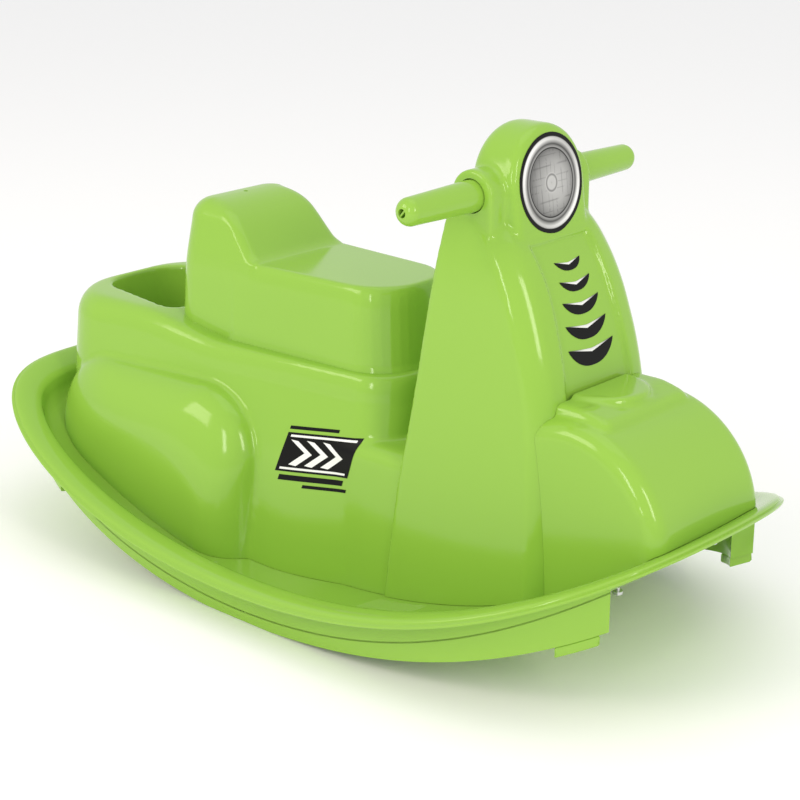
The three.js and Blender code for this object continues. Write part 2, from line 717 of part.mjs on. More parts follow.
// A stop foot: a block under a runner near its end, with a plug up into the channel.
function stopFoot(side, atFront) {
  const perimeter = baseOutline.getLength();
  const near = atFront ? runnerShare(RUNNER_FRONT_X) : runnerShare(RUNNER_REAR_X);
  const towards = atFront ? 1 : -1;
  const ends = [FOOT_SETBACK, FOOT_SETBACK + FOOT_LENGTH];
  const shares = ends.map((along) => near + (towards * along) / perimeter);
  const [start, end] = shares.sort((a, b) => a - b);
  const level = (rise) => ({ heightOf: runnerHeight, rise });
  const plugTop = { heightOf: (x) => (runnerHeight(x) + floorHeight(x) - WALL) / 2, rise: 0 };
  const outer = RUNNER_INSET + GAP;
  const inner = RUNNER_INSET + RUNNER_WIDTH - GAP;
  const block = sideBand(side, start, end, bandCorners(outer, inner, level(-FOOT_DROP), level(-GAP)));
  const plugWall = WALL / perimeter;
  const plugCorners = bandCorners(outer + WALL, inner - WALL, level(-FOOT_DROP / 2), plugTop);
  return block.add(sideBand(side, start + plugWall, end - plugWall, plugCorners));
}

// Seat body

function deckHeight(x) {
  const share = ease(x, DECK_SLOPE_REAR_X, DECK_SLOPE_FRONT_X);
  return THREE.MathUtils.lerp(DECK_REAR_HEIGHT, DECK_FRONT_HEIGHT, share);
}

// The height of a body level, raised towards the rear as the deck is.
function bodyHeight(level, x) {
  const lowest = BODY_TOP.height * SLOPE_START_SHARE;
  const share = Math.max(0, (level - lowest) / (DECK_FRONT_HEIGHT - lowest));
  return level + share * (deckHeight(x) - DECK_FRONT_HEIGHT);
}

function bodyCore(inset) {
  const ring = (level, height) =>
    blockRing(
      {
        rear: level.rear + inset,
        front: level.front - inset,
        rearHalf: level.rearHalf - inset,
        hipX: BODY_HIP_X,
        hipHalf: level.hipHalf - inset,
        frontHalf: level.frontHalf - inset,
        rearRound: BODY_REAR_ROUND - inset,
        frontRound: BODY_FRONT_ROUND - inset,
        bow: BODY_FRONT_BOW,
        sideSteps: SIDE_STEPS,
      },
      (x) => bodyHeight(height, x) - inset,
    );
  const levels = levelsBetween(BODY_FOOT, BODY_TOP, BODY_LEVEL_SHARES);
  const edge = edgeSteps().map(({ inShare, upShare }) => {
    const shrunk = {
      rear: BODY_TOP.rear + SHOULDER_SIDE * inShare,
      front: BODY_TOP.front - SHOULDER_SIDE * inShare,
      rearHalf: BODY_TOP.rearHalf - SHOULDER_REAR_SIDE * inShare,
      hipHalf: BODY_TOP.hipHalf - SHOULDER_SIDE * inShare,
      frontHalf: BODY_TOP.frontHalf - SHOULDER_SIDE * inShare,
    };
    return ring(shrunk, BODY_TOP.height + SHOULDER_HEIGHT * upShare);
  });
  return loft([...levels.map((level) => ring(level, level.height)), ...edge]);
}

// A pod bulges from the side of the body: round at its top corners, crowned outward and straight to the
// floor.
function pod(side, inset) {
  const ring = (across, crownShare, flare) => {
    const front = POD_FRONT_X - inset - POD_FRONT_CROWN * crownShare;
    const rear = POD_REAR_X + inset + POD_REAR_CROWN * crownShare;
    const top = POD_TOP_HEIGHT - inset - POD_TOP_CROWN * crownShare;
    const round = POD_ROUND - inset;
    const outline = [[(front + rear) / 2, top]];
    for (let i = 0; i <= EDGE_STEPS + 1; i++) {
      const angle = (Math.PI / 2) * (i / (EDGE_STEPS + 1));
      outline.push([front - round * (1 - Math.sin(angle)), top - round * (1 - Math.cos(angle))]);
    }
    outline.push([front, 0]);
    outline.push([(front + rear) / 2, 0]);
    outline.push([rear, 0]);
    for (let i = EDGE_STEPS + 1; i >= 0; i--) {
      const angle = (Math.PI / 2) * (i / (EDGE_STEPS + 1));
      outline.push([rear + round * (1 - Math.sin(angle)), top - round * (1 - Math.cos(angle))]);
    }
    return outline.map(([x, z]) => {
      const y = side * (across + flare * (1 - z / POD_TOP_HEIGHT));
      return new THREE.Vector3(x, y, z);
    });
  };
  const crown = edgeSteps(EDGE_STEPS + 1).map(({ inShare, upShare }) => {
    const across = POD_CREASE_HALF + (POD_HALF - POD_CREASE_HALF) * upShare - inset;
    return ring(across, inShare, POD_FOOT_FLARE * upShare);
  });
  return loft([ring(POD_ROOT_HALF, 0, 0), ring(POD_CREASE_HALF - inset, 0, 0), ...crown]);
}

function bucket(inset, top) {
  const ring = (z, draft) =>
    blockRing(
      {
        rear: BUCKET_REAR_X + draft - inset,
        front: BUCKET_FRONT_X - draft + inset,
        rearHalf: BUCKET_REAR_HALF - draft + inset,
        frontHalf: BUCKET_FRONT_HALF - draft + inset,
        rearRound: BUCKET_ROUND - draft + inset,
        frontRound: BUCKET_ROUND / 2 - draft + inset,
      },
      () => z,
    );
  return loft([ring(BUCKET_BOTTOM_HEIGHT - inset, BUCKET_DRAFT), ring(top, 0)]);
}

// The tunnel runs forward from the body to the leg shield, between the foot wells.
function tunnel(inset) {
  const ring = (z, half) =>
    blockRing(
      {
        rear: TUNNEL_REAR_X,
        front: SHIELD_FOOT.rear + TUNNEL_LAP,
        rearHalf: half - inset,
        frontHalf: half - inset,
        rearRound: WALL,
        frontRound: WALL,
      },
      () => z - inset,
    );
  const shoulder = TUNNEL_HEIGHT - TUNNEL_EDGE;
  const edge = edgeSteps().map(({ inShare, upShare }) =>
    ring(shoulder + TUNNEL_EDGE * upShare, TUNNEL_TOP_HALF - TUNNEL_EDGE * inShare),
  );
  return loft([ring(0, BODY_FOOT_FRONT_HALF), ring(shoulder, TUNNEL_TOP_HALF), ...edge]);
}

function seatScrewHead(x) {
  return new THREE.Vector3(x, 0, deckHeight(x) - WALL - GAP - SCREW_HEAD_HEIGHT);
}

// The outside of the body, its pods and its tunnel.
function bodyBlock(inset) {
  return joined([bodyCore(inset), bothSides((side) => pod(side, inset)), tunnel(inset)]);
}

function seatBody() {
  const skin = bodyBlock(0);
  const hollow = bodyBlock(WALL);
  const places = BODY_SCREW_PLACES.flatMap(mirroredPlaces);
  const cup = bucket(WALL, DECK_REAR_HEIGHT - WALL).intersect(skin);
  const shell = skin.subtract(hollow).add(cup);
  const bosses = joined(places.map((place) => boss(place, DECK_REAR_HEIGHT)));
  const filled = shell.add(bosses.intersect(skin).subtract(bucket(0, DECK_REAR_HEIGHT + WALL)));
  const cuts = [
    bucket(0, DECK_REAR_HEIGHT + WALL),
    shieldBlock(-GAP),
    baseBelow(GAP),
    ...places.map((place) => bossHole(screwHead(place))),
    ...SEAT_SCREW_PLACES.map((x) => screwHole(seatScrewHead(x))),
  ];
  return filled.subtract(joined(cuts));
}

// Seat with its backrest

function seatBlock(inset) {
  const ring = (z, shrink, rearHalf, frontHalf, front) =>
    blockRing(
      {
        rear: SEAT_REAR_X + BACK_REAR_LEAN + BACK_SIDE_STEP + inset,
        front: front - inset - shrink,
        rearHalf: rearHalf - inset - shrink,
        frontHalf: frontHalf - inset - shrink,
        rearRound: BACK_ROUND - inset,
        frontRound: SEAT_FRONT_ROUND - inset - shrink,
        bow: SEAT_FRONT_BOW,
      },
      () => z - inset,
    );
  const shoulder = SEAT_TOP_HEIGHT - SEAT_EDGE;
  const topFront = SEAT_FRONT_X - SEAT_FRONT_DRAFT;
  const top = (shrink, z) => ring(z, shrink, SEAT_TOP_REAR_HALF, SEAT_TOP_FRONT_HALF, topFront);
  const edge = edgeSteps().map(({ inShare, upShare }) =>
    top(SEAT_EDGE * inShare, shoulder + SEAT_EDGE * upShare),
  );
  const footHeight = DECK_FRONT_HEIGHT - SEAT_SUNK;
  const foot = ring(footHeight, 0, SEAT_FOOT_REAR_HALF, SEAT_FOOT_FRONT_HALF, SEAT_FRONT_X);
  return loft([foot, top(0, shoulder), ...edge]);
}

// Half the width of the seat's sides at a place along X and a height. The backrest's sides go on from them
// after a slight step.
function seatHalf(x, z) {
  const foot = DECK_FRONT_HEIGHT - SEAT_SUNK;
  const heightShare = (z - foot) / (SEAT_TOP_HEIGHT - SEAT_EDGE - foot);
  const rearHalf = THREE.MathUtils.lerp(SEAT_FOOT_REAR_HALF, SEAT_TOP_REAR_HALF, heightShare);
  const frontHalf = THREE.MathUtils.lerp(SEAT_FOOT_FRONT_HALF, SEAT_TOP_FRONT_HALF, heightShare);
  return THREE.MathUtils.lerp(rearHalf, frontHalf, (x - SEAT_REAR_X) / (SEAT_FRONT_X - SEAT_REAR_X));
}

function backrestBlock(inset) {
  const ring = (z, rear, front, shrink) =>
    blockRing(
      {
        rear: rear + inset + shrink,
        front: front - inset - shrink,
        rearHalf: seatHalf(rear, z) - BACK_SIDE_STEP - inset - shrink,
        frontHalf: seatHalf(front, z) - BACK_SIDE_STEP - inset - shrink,
        rearRound: BACK_ROUND - inset - shrink,
        frontRound: BACK_ROUND - inset - shrink,
      },
      () => z - inset,
    );
  const foot = DECK_FRONT_HEIGHT - SEAT_SUNK;
  const waist = SEAT_TOP_HEIGHT - SEAT_EDGE;
  const shoulder = BACK_TOP_HEIGHT - BACK_EDGE;
  const footFront = SEAT_REAR_X + BACK_FOOT_DEPTH;
  const topRear = SEAT_REAR_X + BACK_REAR_LEAN;
  const topFront = topRear + BACK_TOP_DEPTH;
  const waistRear = THREE.MathUtils.lerp(SEAT_REAR_X, topRear, (waist - foot) / (shoulder - foot));
  const edge = edgeSteps(EDGE_STEPS + 1).map(({ inShare, upShare }) =>
    ring(shoulder + BACK_EDGE * upShare, topRear, topFront, BACK_EDGE * inShare),
  );
  return loft([
    ring(foot, SEAT_REAR_X, footFront, 0),
    ring(waist, waistRear, footFront, 0),
    ring(shoulder, topRear, topFront, 0),
    ...edge,
  ]);
}

function seat() {
  const solid = seatBlock(0).add(backrestBlock(0));
  const shell = solid.subtract(seatBlock(WALL).add(backrestBlock(WALL)));
  const bosses = joined(
    SEAT_SCREW_PLACES.map((x) => {
      const foot = new THREE.Vector3(x, 0, DECK_FRONT_HEIGHT - SEAT_SUNK);
      return post(BOSS_RADIUS, BACK_TOP_HEIGHT, foot, SCREW_POINTS);
    }),
  );
  const holes = joined(SEAT_SCREW_PLACES.map((x) => bossHole(seatScrewHead(x))));
  return shell.add(bosses.intersect(solid)).subtract(bodyCore(-GAP).add(holes));
}

// Leg shield and head

// The plan outline of the shield: the front face with its sunk panel, the round front corners, the flat
// sides and the small rear corners. What rises above the level falls away towards the front.
function shieldRing(level, inset, rise, panelDepth) {
  const panelShare = ease(level.height, SHIELD_HEIGHT - PANEL_LENGTH, SHIELD_HEIGHT);
  const panelHalf = THREE.MathUtils.lerp(PANEL_FOOT_HALF, PANEL_TOP_HALF, panelShare);
  const front = level.front - inset;
  const half = level.half - inset;
  const rear = level.rear + inset;
  const frontRound = SHIELD_FRONT_ROUND - inset;
  const points = [
    [front + SHIELD_CROWN - panelDepth, 0],
    [front + SHIELD_CROWN - panelDepth, panelHalf / 2],
    [front + SHIELD_CROWN - panelDepth, panelHalf - PANEL_STEP],
    [front + SHIELD_CROWN / 2, panelHalf],
  ];
  for (let i = 0; i <= EDGE_STEPS + 1; i++) {
    const angle = (Math.PI / 2) * (i / (EDGE_STEPS + 1));
    const x = front - frontRound + frontRound * Math.cos(angle);
    points.push([x, half - frontRound + frontRound * Math.sin(angle)]);
  }
  points.push([rear + SHIELD_REAR_ROUND, half]);
  points.push([rear, half - SHIELD_REAR_ROUND]);
  points.push([rear, 0]);
  const fall = (x) => 1 - SHIELD_FALL_SHARE * ease(x, BAR_X, level.front);
  const left = points.map(([x, y]) => new THREE.Vector3(x, y, level.height + rise * fall(x)));
  const right = left.slice(1, -1).map((point) => new THREE.Vector3(point.x, -point.y, point.z));
  return [...left, ...right.reverse()];
}

function shieldBlock(inset) {
  const levels = levelsBetween(SHIELD_FOOT, SHIELD_TOP, SHIELD_LEVEL_SHARES);
  const walls = levels.map((level) => shieldRing(level, inset, 0, PANEL_DEPTH));
  const lip = shieldRing(SHIELD_TOP, inset, PANEL_STEP / 2, 0);
  const edge = edgeSteps().map(({ inShare, upShare }) => {
    const shrink = SHIELD_TOP_EDGE * inShare;
    const level = {
      height: SHIELD_TOP.height,
      rear: SHIELD_TOP.rear + shrink,
      front: SHIELD_TOP.front - shrink,
      half: SHIELD_TOP.half - shrink,
    };
    return shieldRing(level, inset, PANEL_STEP / 2 + (SHIELD_TOP_EDGE - inset) * upShare, 0);
  });
  return loft([...walls, lip, ...edge]);
}

// The head is an arch in front view, carried from a round rear to a flat, tilted face.
function headBlock(inset) {
  const lean = Math.tan(THREE.MathUtils.degToRad(FACE_TILT_DEGREES));
  const ring = (x, shrink, leanShare) => {
    const radius = HEAD_RADIUS - shrink;
    const outline = [new THREE.Vector2(0, HEAD_FOOT_HEIGHT)];
    for (let i = 0; i <= HEAD_POINTS / 2; i++) {
      const angle = (Math.PI * i) / (HEAD_POINTS / 2);
      const height = HEAD_CENTRE_HEIGHT + radius * Math.sin(angle);
      outline.push(new THREE.Vector2(radius * Math.cos(angle), height));
    }
    outline.splice(1, 0, new THREE.Vector2(radius, HEAD_FOOT_HEIGHT));
    outline.push(new THREE.Vector2(-radius, HEAD_FOOT_HEIGHT));
    return outline.map((point) => {
      const back = leanShare * lean * (point.y - HEAD_CENTRE_HEIGHT);
      return new THREE.Vector3(x - back, point.x, point.y);
    });
  };
  const rear = edgeSteps()
    .map(({ inShare, upShare }) => {
      const x = HEAD_REAR_X + HEAD_REAR_ROUND * (1 - upShare) + inset * upShare;
      return ring(x, inset + (HEAD_REAR_ROUND - inset) * inShare, 0);
    })
    .reverse();
  const sides = [
    ring(HEAD_REAR_X + HEAD_REAR_ROUND, inset, 0),
    ring(HEAD_FACE_X - HEAD_FACE_ROUND, inset, 1),
  ];
  const face = edgeSteps(EDGE_STEPS - 1).map(({ inShare, upShare }) => {
    const x = HEAD_FACE_X - HEAD_FACE_ROUND + (HEAD_FACE_ROUND - inset) * upShare;
    return ring(x, inset + HEAD_FACE_ROUND * inShare, 1);
  });
  return loft([...rear, ...sides, ...face]);
}

// A collar: an arched boss on the side of the head round the end of a grip.
function collar(side, inset) {
  const ring = (across, shrink) => {
    const radius = COLLAR_RADIUS - inset - shrink;
    const outline = [new THREE.Vector2(radius, COLLAR_FOOT_HEIGHT)];
    for (let i = 0; i <= ROUND_POINTS / 2; i++) {
      const angle = (Math.PI * i) / (ROUND_POINTS / 2);
      outline.push(new THREE.Vector2(radius * Math.cos(angle), BAR_HEIGHT + radius * Math.sin(angle)));
    }
    outline.push(new THREE.Vector2(-radius, COLLAR_FOOT_HEIGHT));
    outline.push(new THREE.Vector2(0, COLLAR_FOOT_HEIGHT));
    return outline.map((point) => new THREE.Vector3(BAR_X + point.x, side * across, point.y));
  };
  const outer = COLLAR_OUTER_HALF - inset;
  const root = ring(COLLAR_INNER_HALF - WALL - inset, 0);
  return loft([root, ring(outer - COLLAR_EDGE, 0), ring(outer, COLLAR_EDGE)]);
}

function gripBore(side) {
  const radius = GRIP_ROOT_RADIUS + GRIP_CLEARANCE;
  const geometry = new THREE.CylinderGeometry(radius, radius, COLLAR_OUTER_HALF, ROUND_POINTS + EDGE_STEPS);
  return solidOf(geometry.translate(BAR_X, 0, 0).translate(0, side * COLLAR_OUTER_HALF, BAR_HEIGHT));
}

function legShield() {
  const skin = joined([shieldBlock(0), headBlock(0), bothSides((side) => collar(side, 0))]);
  const hollow = shieldBlock(WALL).add(headBlock(WALL));
  const places = mirroredPlaces(SHIELD_SCREW_PLACE);
  const bosses = joined(places.map((place) => boss(place, BOSS_LIFT)));
  const shell = skin.subtract(hollow).add(bosses);
  const cuts = [
    bothSides(gripBore),
    baseBelow(GAP),
    ...places.map((place) => bossHole(screwHead(place))),
  ];
  return shell.subtract(joined(cuts));
}

// Mudguard

// The mudguard is an arch in side view, carried across the toy with rounded sides.
function guardBlock(inset) {
  const ring = (across, shrink) => {
    const radius = GUARD_RADIUS - inset - shrink;
    const outline = [];
    const rearX = GUARD_REAR_X + inset;
    const start = Math.acos((rearX - GUARD_CENTRE_X) / radius);
    for (let i = 0; i <= HEAD_POINTS / 2; i++) {
      const angle = (start * i) / (HEAD_POINTS / 2);
      const x = GUARD_CENTRE_X + radius * Math.cos(angle);
      outline.push(new THREE.Vector3(x, across, GUARD_CENTRE_HEIGHT + radius * Math.sin(angle)));
    }
    outline.push(new THREE.Vector3(rearX, across, GUARD_FOOT_HEIGHT));
    outline.push(new THREE.Vector3(GUARD_CENTRE_X + radius, across, GUARD_FOOT_HEIGHT));
    return outline;
  };
  const half = GUARD_HALF - inset;
  const round = GUARD_EDGE - inset;
  const straight = half - round;
  const left = edgeSteps().map(({ inShare, upShare }) => ring(straight + round * upShare, round * inShare));
  const right = edgeSteps().map(({ inShare, upShare }) => ring(-straight - round * upShare, round * inShare));
  return loft([...right.reverse(), ring(-straight, 0), ring(straight, 0), ...left]);
}

// The raised plate on top of the mudguard falls towards its nose.
function plateBlock(inset) {
  const ring = (shrink, drop) =>
    blockRing(
      {
        rear: GUARD_REAR_X + inset,
        front: PLATE_FRONT_X - inset - shrink,
        rearHalf: PLATE_HALF - inset - shrink,
        frontHalf: PLATE_HALF - inset - shrink,
        rearRound: PLATE_ROUND,
        frontRound: PLATE_ROUND,
        sideSteps: EDGE_STEPS,
      },
      (x) => PLATE_HEIGHT - inset - drop - PLATE_NOSE_DROP * ease(x, GUARD_CENTRE_X, PLATE_FRONT_X),
    );
  const edge = edgeSteps().map(({ inShare, upShare }) =>
    ring(PLATE_EDGE * inShare, PLATE_EDGE * (1 - upShare)),
  );
  return loft([ring(0, PLATE_SUNK), ring(0, PLATE_EDGE), ...edge]);
}

// The half-round pad on the plate, in front of the leg shield.
function guardPad() {
  const ring = (shrink, z) => {
    const arc = Array.from({ length: ROUND_POINTS + 1 }, (_, i) => {
      const angle = Math.PI * (i / ROUND_POINTS - 1 / 2);
      const x = PAD_CENTRE_X + (PAD_REACH - shrink) * Math.cos(angle);
      return new THREE.Vector3(x, (PAD_HALF - shrink) * Math.sin(angle), z);
    });
    const rear = [PAD_HALF, 0, -PAD_HALF].map((y) => new THREE.Vector3(GUARD_REAR_X, y, z));
    return [...arc.slice(ROUND_POINTS / 2), ...rear, ...arc.slice(0, ROUND_POINTS / 2)];
  };
  const top = PLATE_HEIGHT + PAD_RISE;
  return loft([ring(0, PLATE_HEIGHT - PLATE_EDGE), ring(0, top - PAD_EDGE), ring(PAD_EDGE, top)]);
}

function mudguard() {
  const skin = joined([guardBlock(0), plateBlock(0), guardPad()]);
  const places = mirroredPlaces(GUARD_SCREW_PLACE);
  const bosses = joined(places.map((place) => boss(place, BOSS_LIFT)));
  const shell = skin.subtract(guardBlock(WALL).add(plateBlock(WALL))).add(bosses);
  const cuts = [
    shieldBlock(-GAP),
    baseBelow(GAP),
    ...places.map((place) => bossHole(screwHead(place))),
  ];
  return shell.subtract(joined(cuts));
}

// Handlebar

// A grip: a tapered tube with a flange inside the head, a round end and an end hole crossed by a web.
function grip(side) {
  const tip = BAR_HALF;
  const bore = TUBE_RADIUS + GAP;
  const boreEnd = TUBE_HALF + WALL;
  const profile = [
    [bore, BAR_ROOT_HALF],
    [GRIP_ROOT_RADIUS + GRIP_FLANGE, BAR_ROOT_HALF],
    [GRIP_ROOT_RADIUS + GRIP_FLANGE, BAR_ROOT_HALF + GRIP_FLANGE_THICKNESS],
    [GRIP_ROOT_RADIUS, BAR_ROOT_HALF + GRIP_FLANGE_THICKNESS],
    [GRIP_ROOT_RADIUS, COLLAR_OUTER_HALF],
    [GRIP_TIP_RADIUS, tip - GRIP_END_ROUND],
  ];
  for (const { inShare, upShare } of edgeSteps(EDGE_STEPS + 1).slice(0, -1)) {
    profile.push([GRIP_TIP_RADIUS - GRIP_END_ROUND * inShare, tip - GRIP_END_ROUND * (1 - upShare)]);
  }
  profile.push([GRIP_END_HOLE_RADIUS, tip]);
  profile.push([GRIP_END_HOLE_RADIUS, boreEnd + WALL]);
  profile.push([bore, boreEnd]);
  profile.push([bore, BAR_ROOT_HALF]);
  const lathe = new THREE.LatheGeometry(
    profile.map(([radius, along]) => new THREE.Vector2(radius, side * along)),
    ROUND_POINTS + EDGE_STEPS,
  );
  const web = new THREE.BoxGeometry(2 * GRIP_END_HOLE_RADIUS + GAP, GRIP_END_ROUND, GRIP_WEB);
  web.rotateY(-Math.PI / 4);
  web.translate(0, side * (tip - GRIP_END_ROUND), 0);
  return solidOf(lathe).add(solidOf(web)).translate([BAR_X, 0, BAR_HEIGHT]);
}

function crossTube() {
  const profile = [
    [TUBE_RADIUS - TUBE_WALL, -TUBE_HALF],
    [TUBE_RADIUS, -TUBE_HALF],
    [TUBE_RADIUS, TUBE_HALF],
    [TUBE_RADIUS - TUBE_WALL, TUBE_HALF],
    [TUBE_RADIUS - TUBE_WALL, -TUBE_HALF],
  ];
  const points = profile.map(([radius, along]) => new THREE.Vector2(radius, along));
  return solidOf(new THREE.LatheGeometry(points, ROUND_POINTS)).translate([BAR_X, 0, BAR_HEIGHT]);
}

// Stickers

function headlight() {
  const geometry = new THREE.CylinderGeometry(LIGHT_RADIUS, LIGHT_RADIUS, STICKER, HEAD_POINTS);
  geometry.rotateZ(-Math.PI / 2);
  geometry.translate(STICKER_GAP + STICKER / 2, 0, 0);
  geometry.rotateY(THREE.MathUtils.degToRad(-FACE_TILT_DEGREES));
  return solidOf(geometry.translate(HEAD_FACE_X, 0, HEAD_CENTRE_HEIGHT));
}

// A thin layer that lies on a shell, cut to a block's outline.
function layerOn(makeBlock, outline) {
  const layer = makeBlock(-STICKER_GAP - STICKER).subtract(makeBlock(-STICKER_GAP));
  return layer.intersect(outline);
}

// A crescent seen from the front: a blunt V above and a round belly below.
function ventOutline(index) {
  const half = VENT_TOP_HALF + VENT_GROWTH * index;
  const depth = half * VENT_DEPTH_SHARE;
  const notch = half * VENT_NOTCH_SHARE;
  const shape = new THREE.Shape();
  shape.moveTo(-half, 0);
  shape.quadraticCurveTo(-half * VENT_BELLY_SHARE, -depth, 0, -depth);
  shape.quadraticCurveTo(half * VENT_BELLY_SHARE, -depth, half, 0);
  shape.lineTo(half * VENT_FLAT_SHARE, -notch);
  shape.lineTo(-half * VENT_FLAT_SHARE, -notch);
  const geometry = new THREE.ExtrudeGeometry(shape, {
    depth: BASE_WIDTH,
    bevelEnabled: false,
    curveSegments: EDGE_STEPS,
  });
  geometry.rotateX(Math.PI / 2).rotateZ(Math.PI / 2);
  return solidOf(geometry.translate(BAR_X, 0, SHIELD_HEIGHT - VENT_TOP_DROP - VENT_PITCH * index));
}

// A leaning four-sided badge seen from the side.
function badgeOutline(side) {
  const shape = new THREE.Shape();
  shape.moveTo(BADGE_REAR_X, BADGE_FOOT_HEIGHT);
  shape.lineTo(BADGE_REAR_X + BADGE_LENGTH - BADGE_SLANT, BADGE_FOOT_HEIGHT);
  shape.lineTo(BADGE_REAR_X + BADGE_LENGTH, BADGE_FOOT_HEIGHT + BADGE_HEIGHT);
  shape.lineTo(BADGE_REAR_X + BADGE_SLANT, BADGE_FOOT_HEIGHT + BADGE_HEIGHT);
  const geometry = new THREE.ExtrudeGeometry(shape, { depth: BASE_WIDTH, bevelEnabled: false });
  geometry.rotateX(Math.PI / 2);
  return solidOf(side < 0 ? geometry : geometry.translate(0, BASE_WIDTH, 0));
}

// Assembly

const group = new THREE.Group();

function place(name, solid, finish) {
  group.add(meshOf(name, solid, finish));
}

place("rocker_base", rockerBase(), "green");
place("seat_body", seatBody(), "green");
place("seat_with_backrest", seat(), "green");
place("leg_shield", legShield(), "green");
place("mudguard", mudguard(), "green");
place("cross_tube", crossTube(), "steel");
place("headlight_sticker", headlight(), "silver");

for (const [sideName, side] of [["left", 1], ["right", -1]]) {
  place(`handle_${sideName}`, grip(side), "green");
  place(`stop_foot_front_${sideName}`, stopFoot(side, true), "green");
  place(`stop_foot_rear_${sideName}`, stopFoot(side, false), "green");
  place(`side_sticker_${sideName}`, layerOn(bodyBlock, badgeOutline(side)), "black");
}

for (let index = 0; index < VENT_COUNT; index++) {
  place(`vent_sticker_${index + 1}`, layerOn(shieldBlock, ventOutline(index)), "black");
}

floorScrewPlaces().forEach((spot, index) => {
  place(`floor_screw_${index + 1}`, screw(screwHead(spot)), "steel");
});

SEAT_SCREW_PLACES.forEach((x, index) => {
  place(`seat_screw_${index + 1}`, screw(seatScrewHead(x)), "steel");
});

export default group;
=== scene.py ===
"""Dresses the rocking scooter: smooth blown-plastic mouldings, printed stickers, a studio and a camera.

Every size is in millimetres in the row frame: X to the front, Y to the rider's left, Z up from the ground.
"""

from __future__ import annotations

import logging
import math
from dataclasses import dataclass, field
from enum import Enum
from typing import Callable, Iterable, Sequence

import bmesh
import bpy
from mathutils import Matrix, Vector
from mathutils.bvhtree import BVHTree

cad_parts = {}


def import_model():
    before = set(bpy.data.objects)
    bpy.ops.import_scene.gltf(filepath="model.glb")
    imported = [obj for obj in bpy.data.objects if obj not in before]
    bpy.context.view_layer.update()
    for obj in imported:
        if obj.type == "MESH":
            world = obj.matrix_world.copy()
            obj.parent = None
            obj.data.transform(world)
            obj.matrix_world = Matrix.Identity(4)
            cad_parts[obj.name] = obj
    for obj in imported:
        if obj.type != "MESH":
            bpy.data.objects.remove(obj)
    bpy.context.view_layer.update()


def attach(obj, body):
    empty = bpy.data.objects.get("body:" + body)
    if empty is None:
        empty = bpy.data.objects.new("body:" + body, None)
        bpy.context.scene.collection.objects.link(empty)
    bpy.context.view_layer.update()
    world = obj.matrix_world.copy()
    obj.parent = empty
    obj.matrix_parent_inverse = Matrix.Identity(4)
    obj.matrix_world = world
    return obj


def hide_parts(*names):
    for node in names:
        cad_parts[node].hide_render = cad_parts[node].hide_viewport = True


MM = 0.001
BODY = "root"
# The gap in millimetres that a moulding keeps to the next one.
CLEARANCE = 0.35
# How near, in metres, two vertices lie when they are merged, in a solid and in a film.
MERGE = 1e-6
FILM_MERGE = 1e-7
# The least turn of an edge that stays sharp on a finished piece, and of one that a bevel rounds.
SHARP_EDGE = math.radians(45.0)
BEVELLED_EDGE = 0.6
LOG = logging.getLogger("scooter")

Mesh = bmesh.types.BMesh
Vertex = bmesh.types.BMVert
Flat = tuple[float, float]
Place = tuple[float, float, float]
Ring = list[Place]
Curve = Callable[[float], float]
FlatAt = Callable[[float, float], Flat]
InkAt = Callable[[float, float], float]


class Axis(Enum):
    """The axis along which a ring's two halves mirror each other."""

    X = 0
    Y = 1
    Z = 2


class Side(Enum):
    """The rider's two sides, by the sign of Y."""

    LEFT = 1
    RIGHT = -1


# Curves and outlines


def ease(value: float, start: float, end: float) -> float:
    """A smooth step.

    Args:
        value: where it is read.
        start: where it is 0.
        end: where it is 1.

    Returns:
        A share from 0 to 1.
    """
    share = min(1.0, max(0.0, (value - start) / (end - start)))
    return share * share * (3 - 2 * share)


def mix(start: float, end: float, share: float) -> float:
    """The value at a share of the way from start to end."""
    return start + (end - start) * share


def spread(start: float, end: float, steps: int) -> list[float]:
    """Even values from start to end, both included."""
    return [mix(start, end, i / steps) for i in range(steps + 1)]


def raised(curve: Curve, rise: float) -> Curve:
    """A side-view curve raised, or lowered where the rise is negative."""
    return lambda x: curve(x) + rise


def quarter(steps: int, first: int = 1) -> list[Flat]:
    """The steps of a quarter-round edge.

    Args:
        steps: how many it has.
        first: the first one given, where 0 is its start.

    Returns:
        For each step how far in and how far up it is, as shares of the radius.
    """
    angles = [math.pi / 2 * i / steps for i in range(first, steps + 1)]
    return [(1 - math.cos(angle), math.sin(angle)) for angle in angles]


def half_circle(radius: float, steps: int) -> list[Flat]:
    """The upper half of a circle round the origin, from its positive end to its negative one."""
    return [(radius * math.cos(angle), radius * math.sin(angle)) for angle in spread(0.0, math.pi, steps)]


def mirrored(left: Sequence[Flat]) -> list[Flat]:
    """An outline from its left half, which starts and ends on the middle line."""
    return [*left, *((x, -y) for x, y in reversed(left[1:-1]))]


def through(rows: Sequence[Sequence[float]], at: float) -> list[float]:
    """A smooth row at a value of the first column of a table.

    Args:
        rows: the table, sorted by its first column.
        at: the value of the first column.

    Returns:
        The other columns there, on a curve through all the rows.
    """
    last = len(rows) - 2
    index = max(i for i in range(last + 1) if i == 0 or rows[i][0] <= at)
    here, there = rows[index], rows[index + 1]
    span = there[0] - here[0]
    share = (at - here[0]) / span

    def slope(row: int, column: int) -> float:
        """The curve's slope at one row."""
        low, high = rows[max(row - 1, 0)], rows[min(row + 1, last + 1)]
        return (high[column] - low[column]) / (high[0] - low[0])

    values = []
    for column in range(1, len(here)):
        pull_here, pull_there = slope(index, column) * span, slope(index + 1, column) * span
        gain = there[column] - here[column]
        square, cube = 3 * gain - 2 * pull_here - pull_there, pull_here + pull_there - 2 * gain
        values.append(here[column] + pull_here * share + square * share**2 + cube * share**3)
    return values


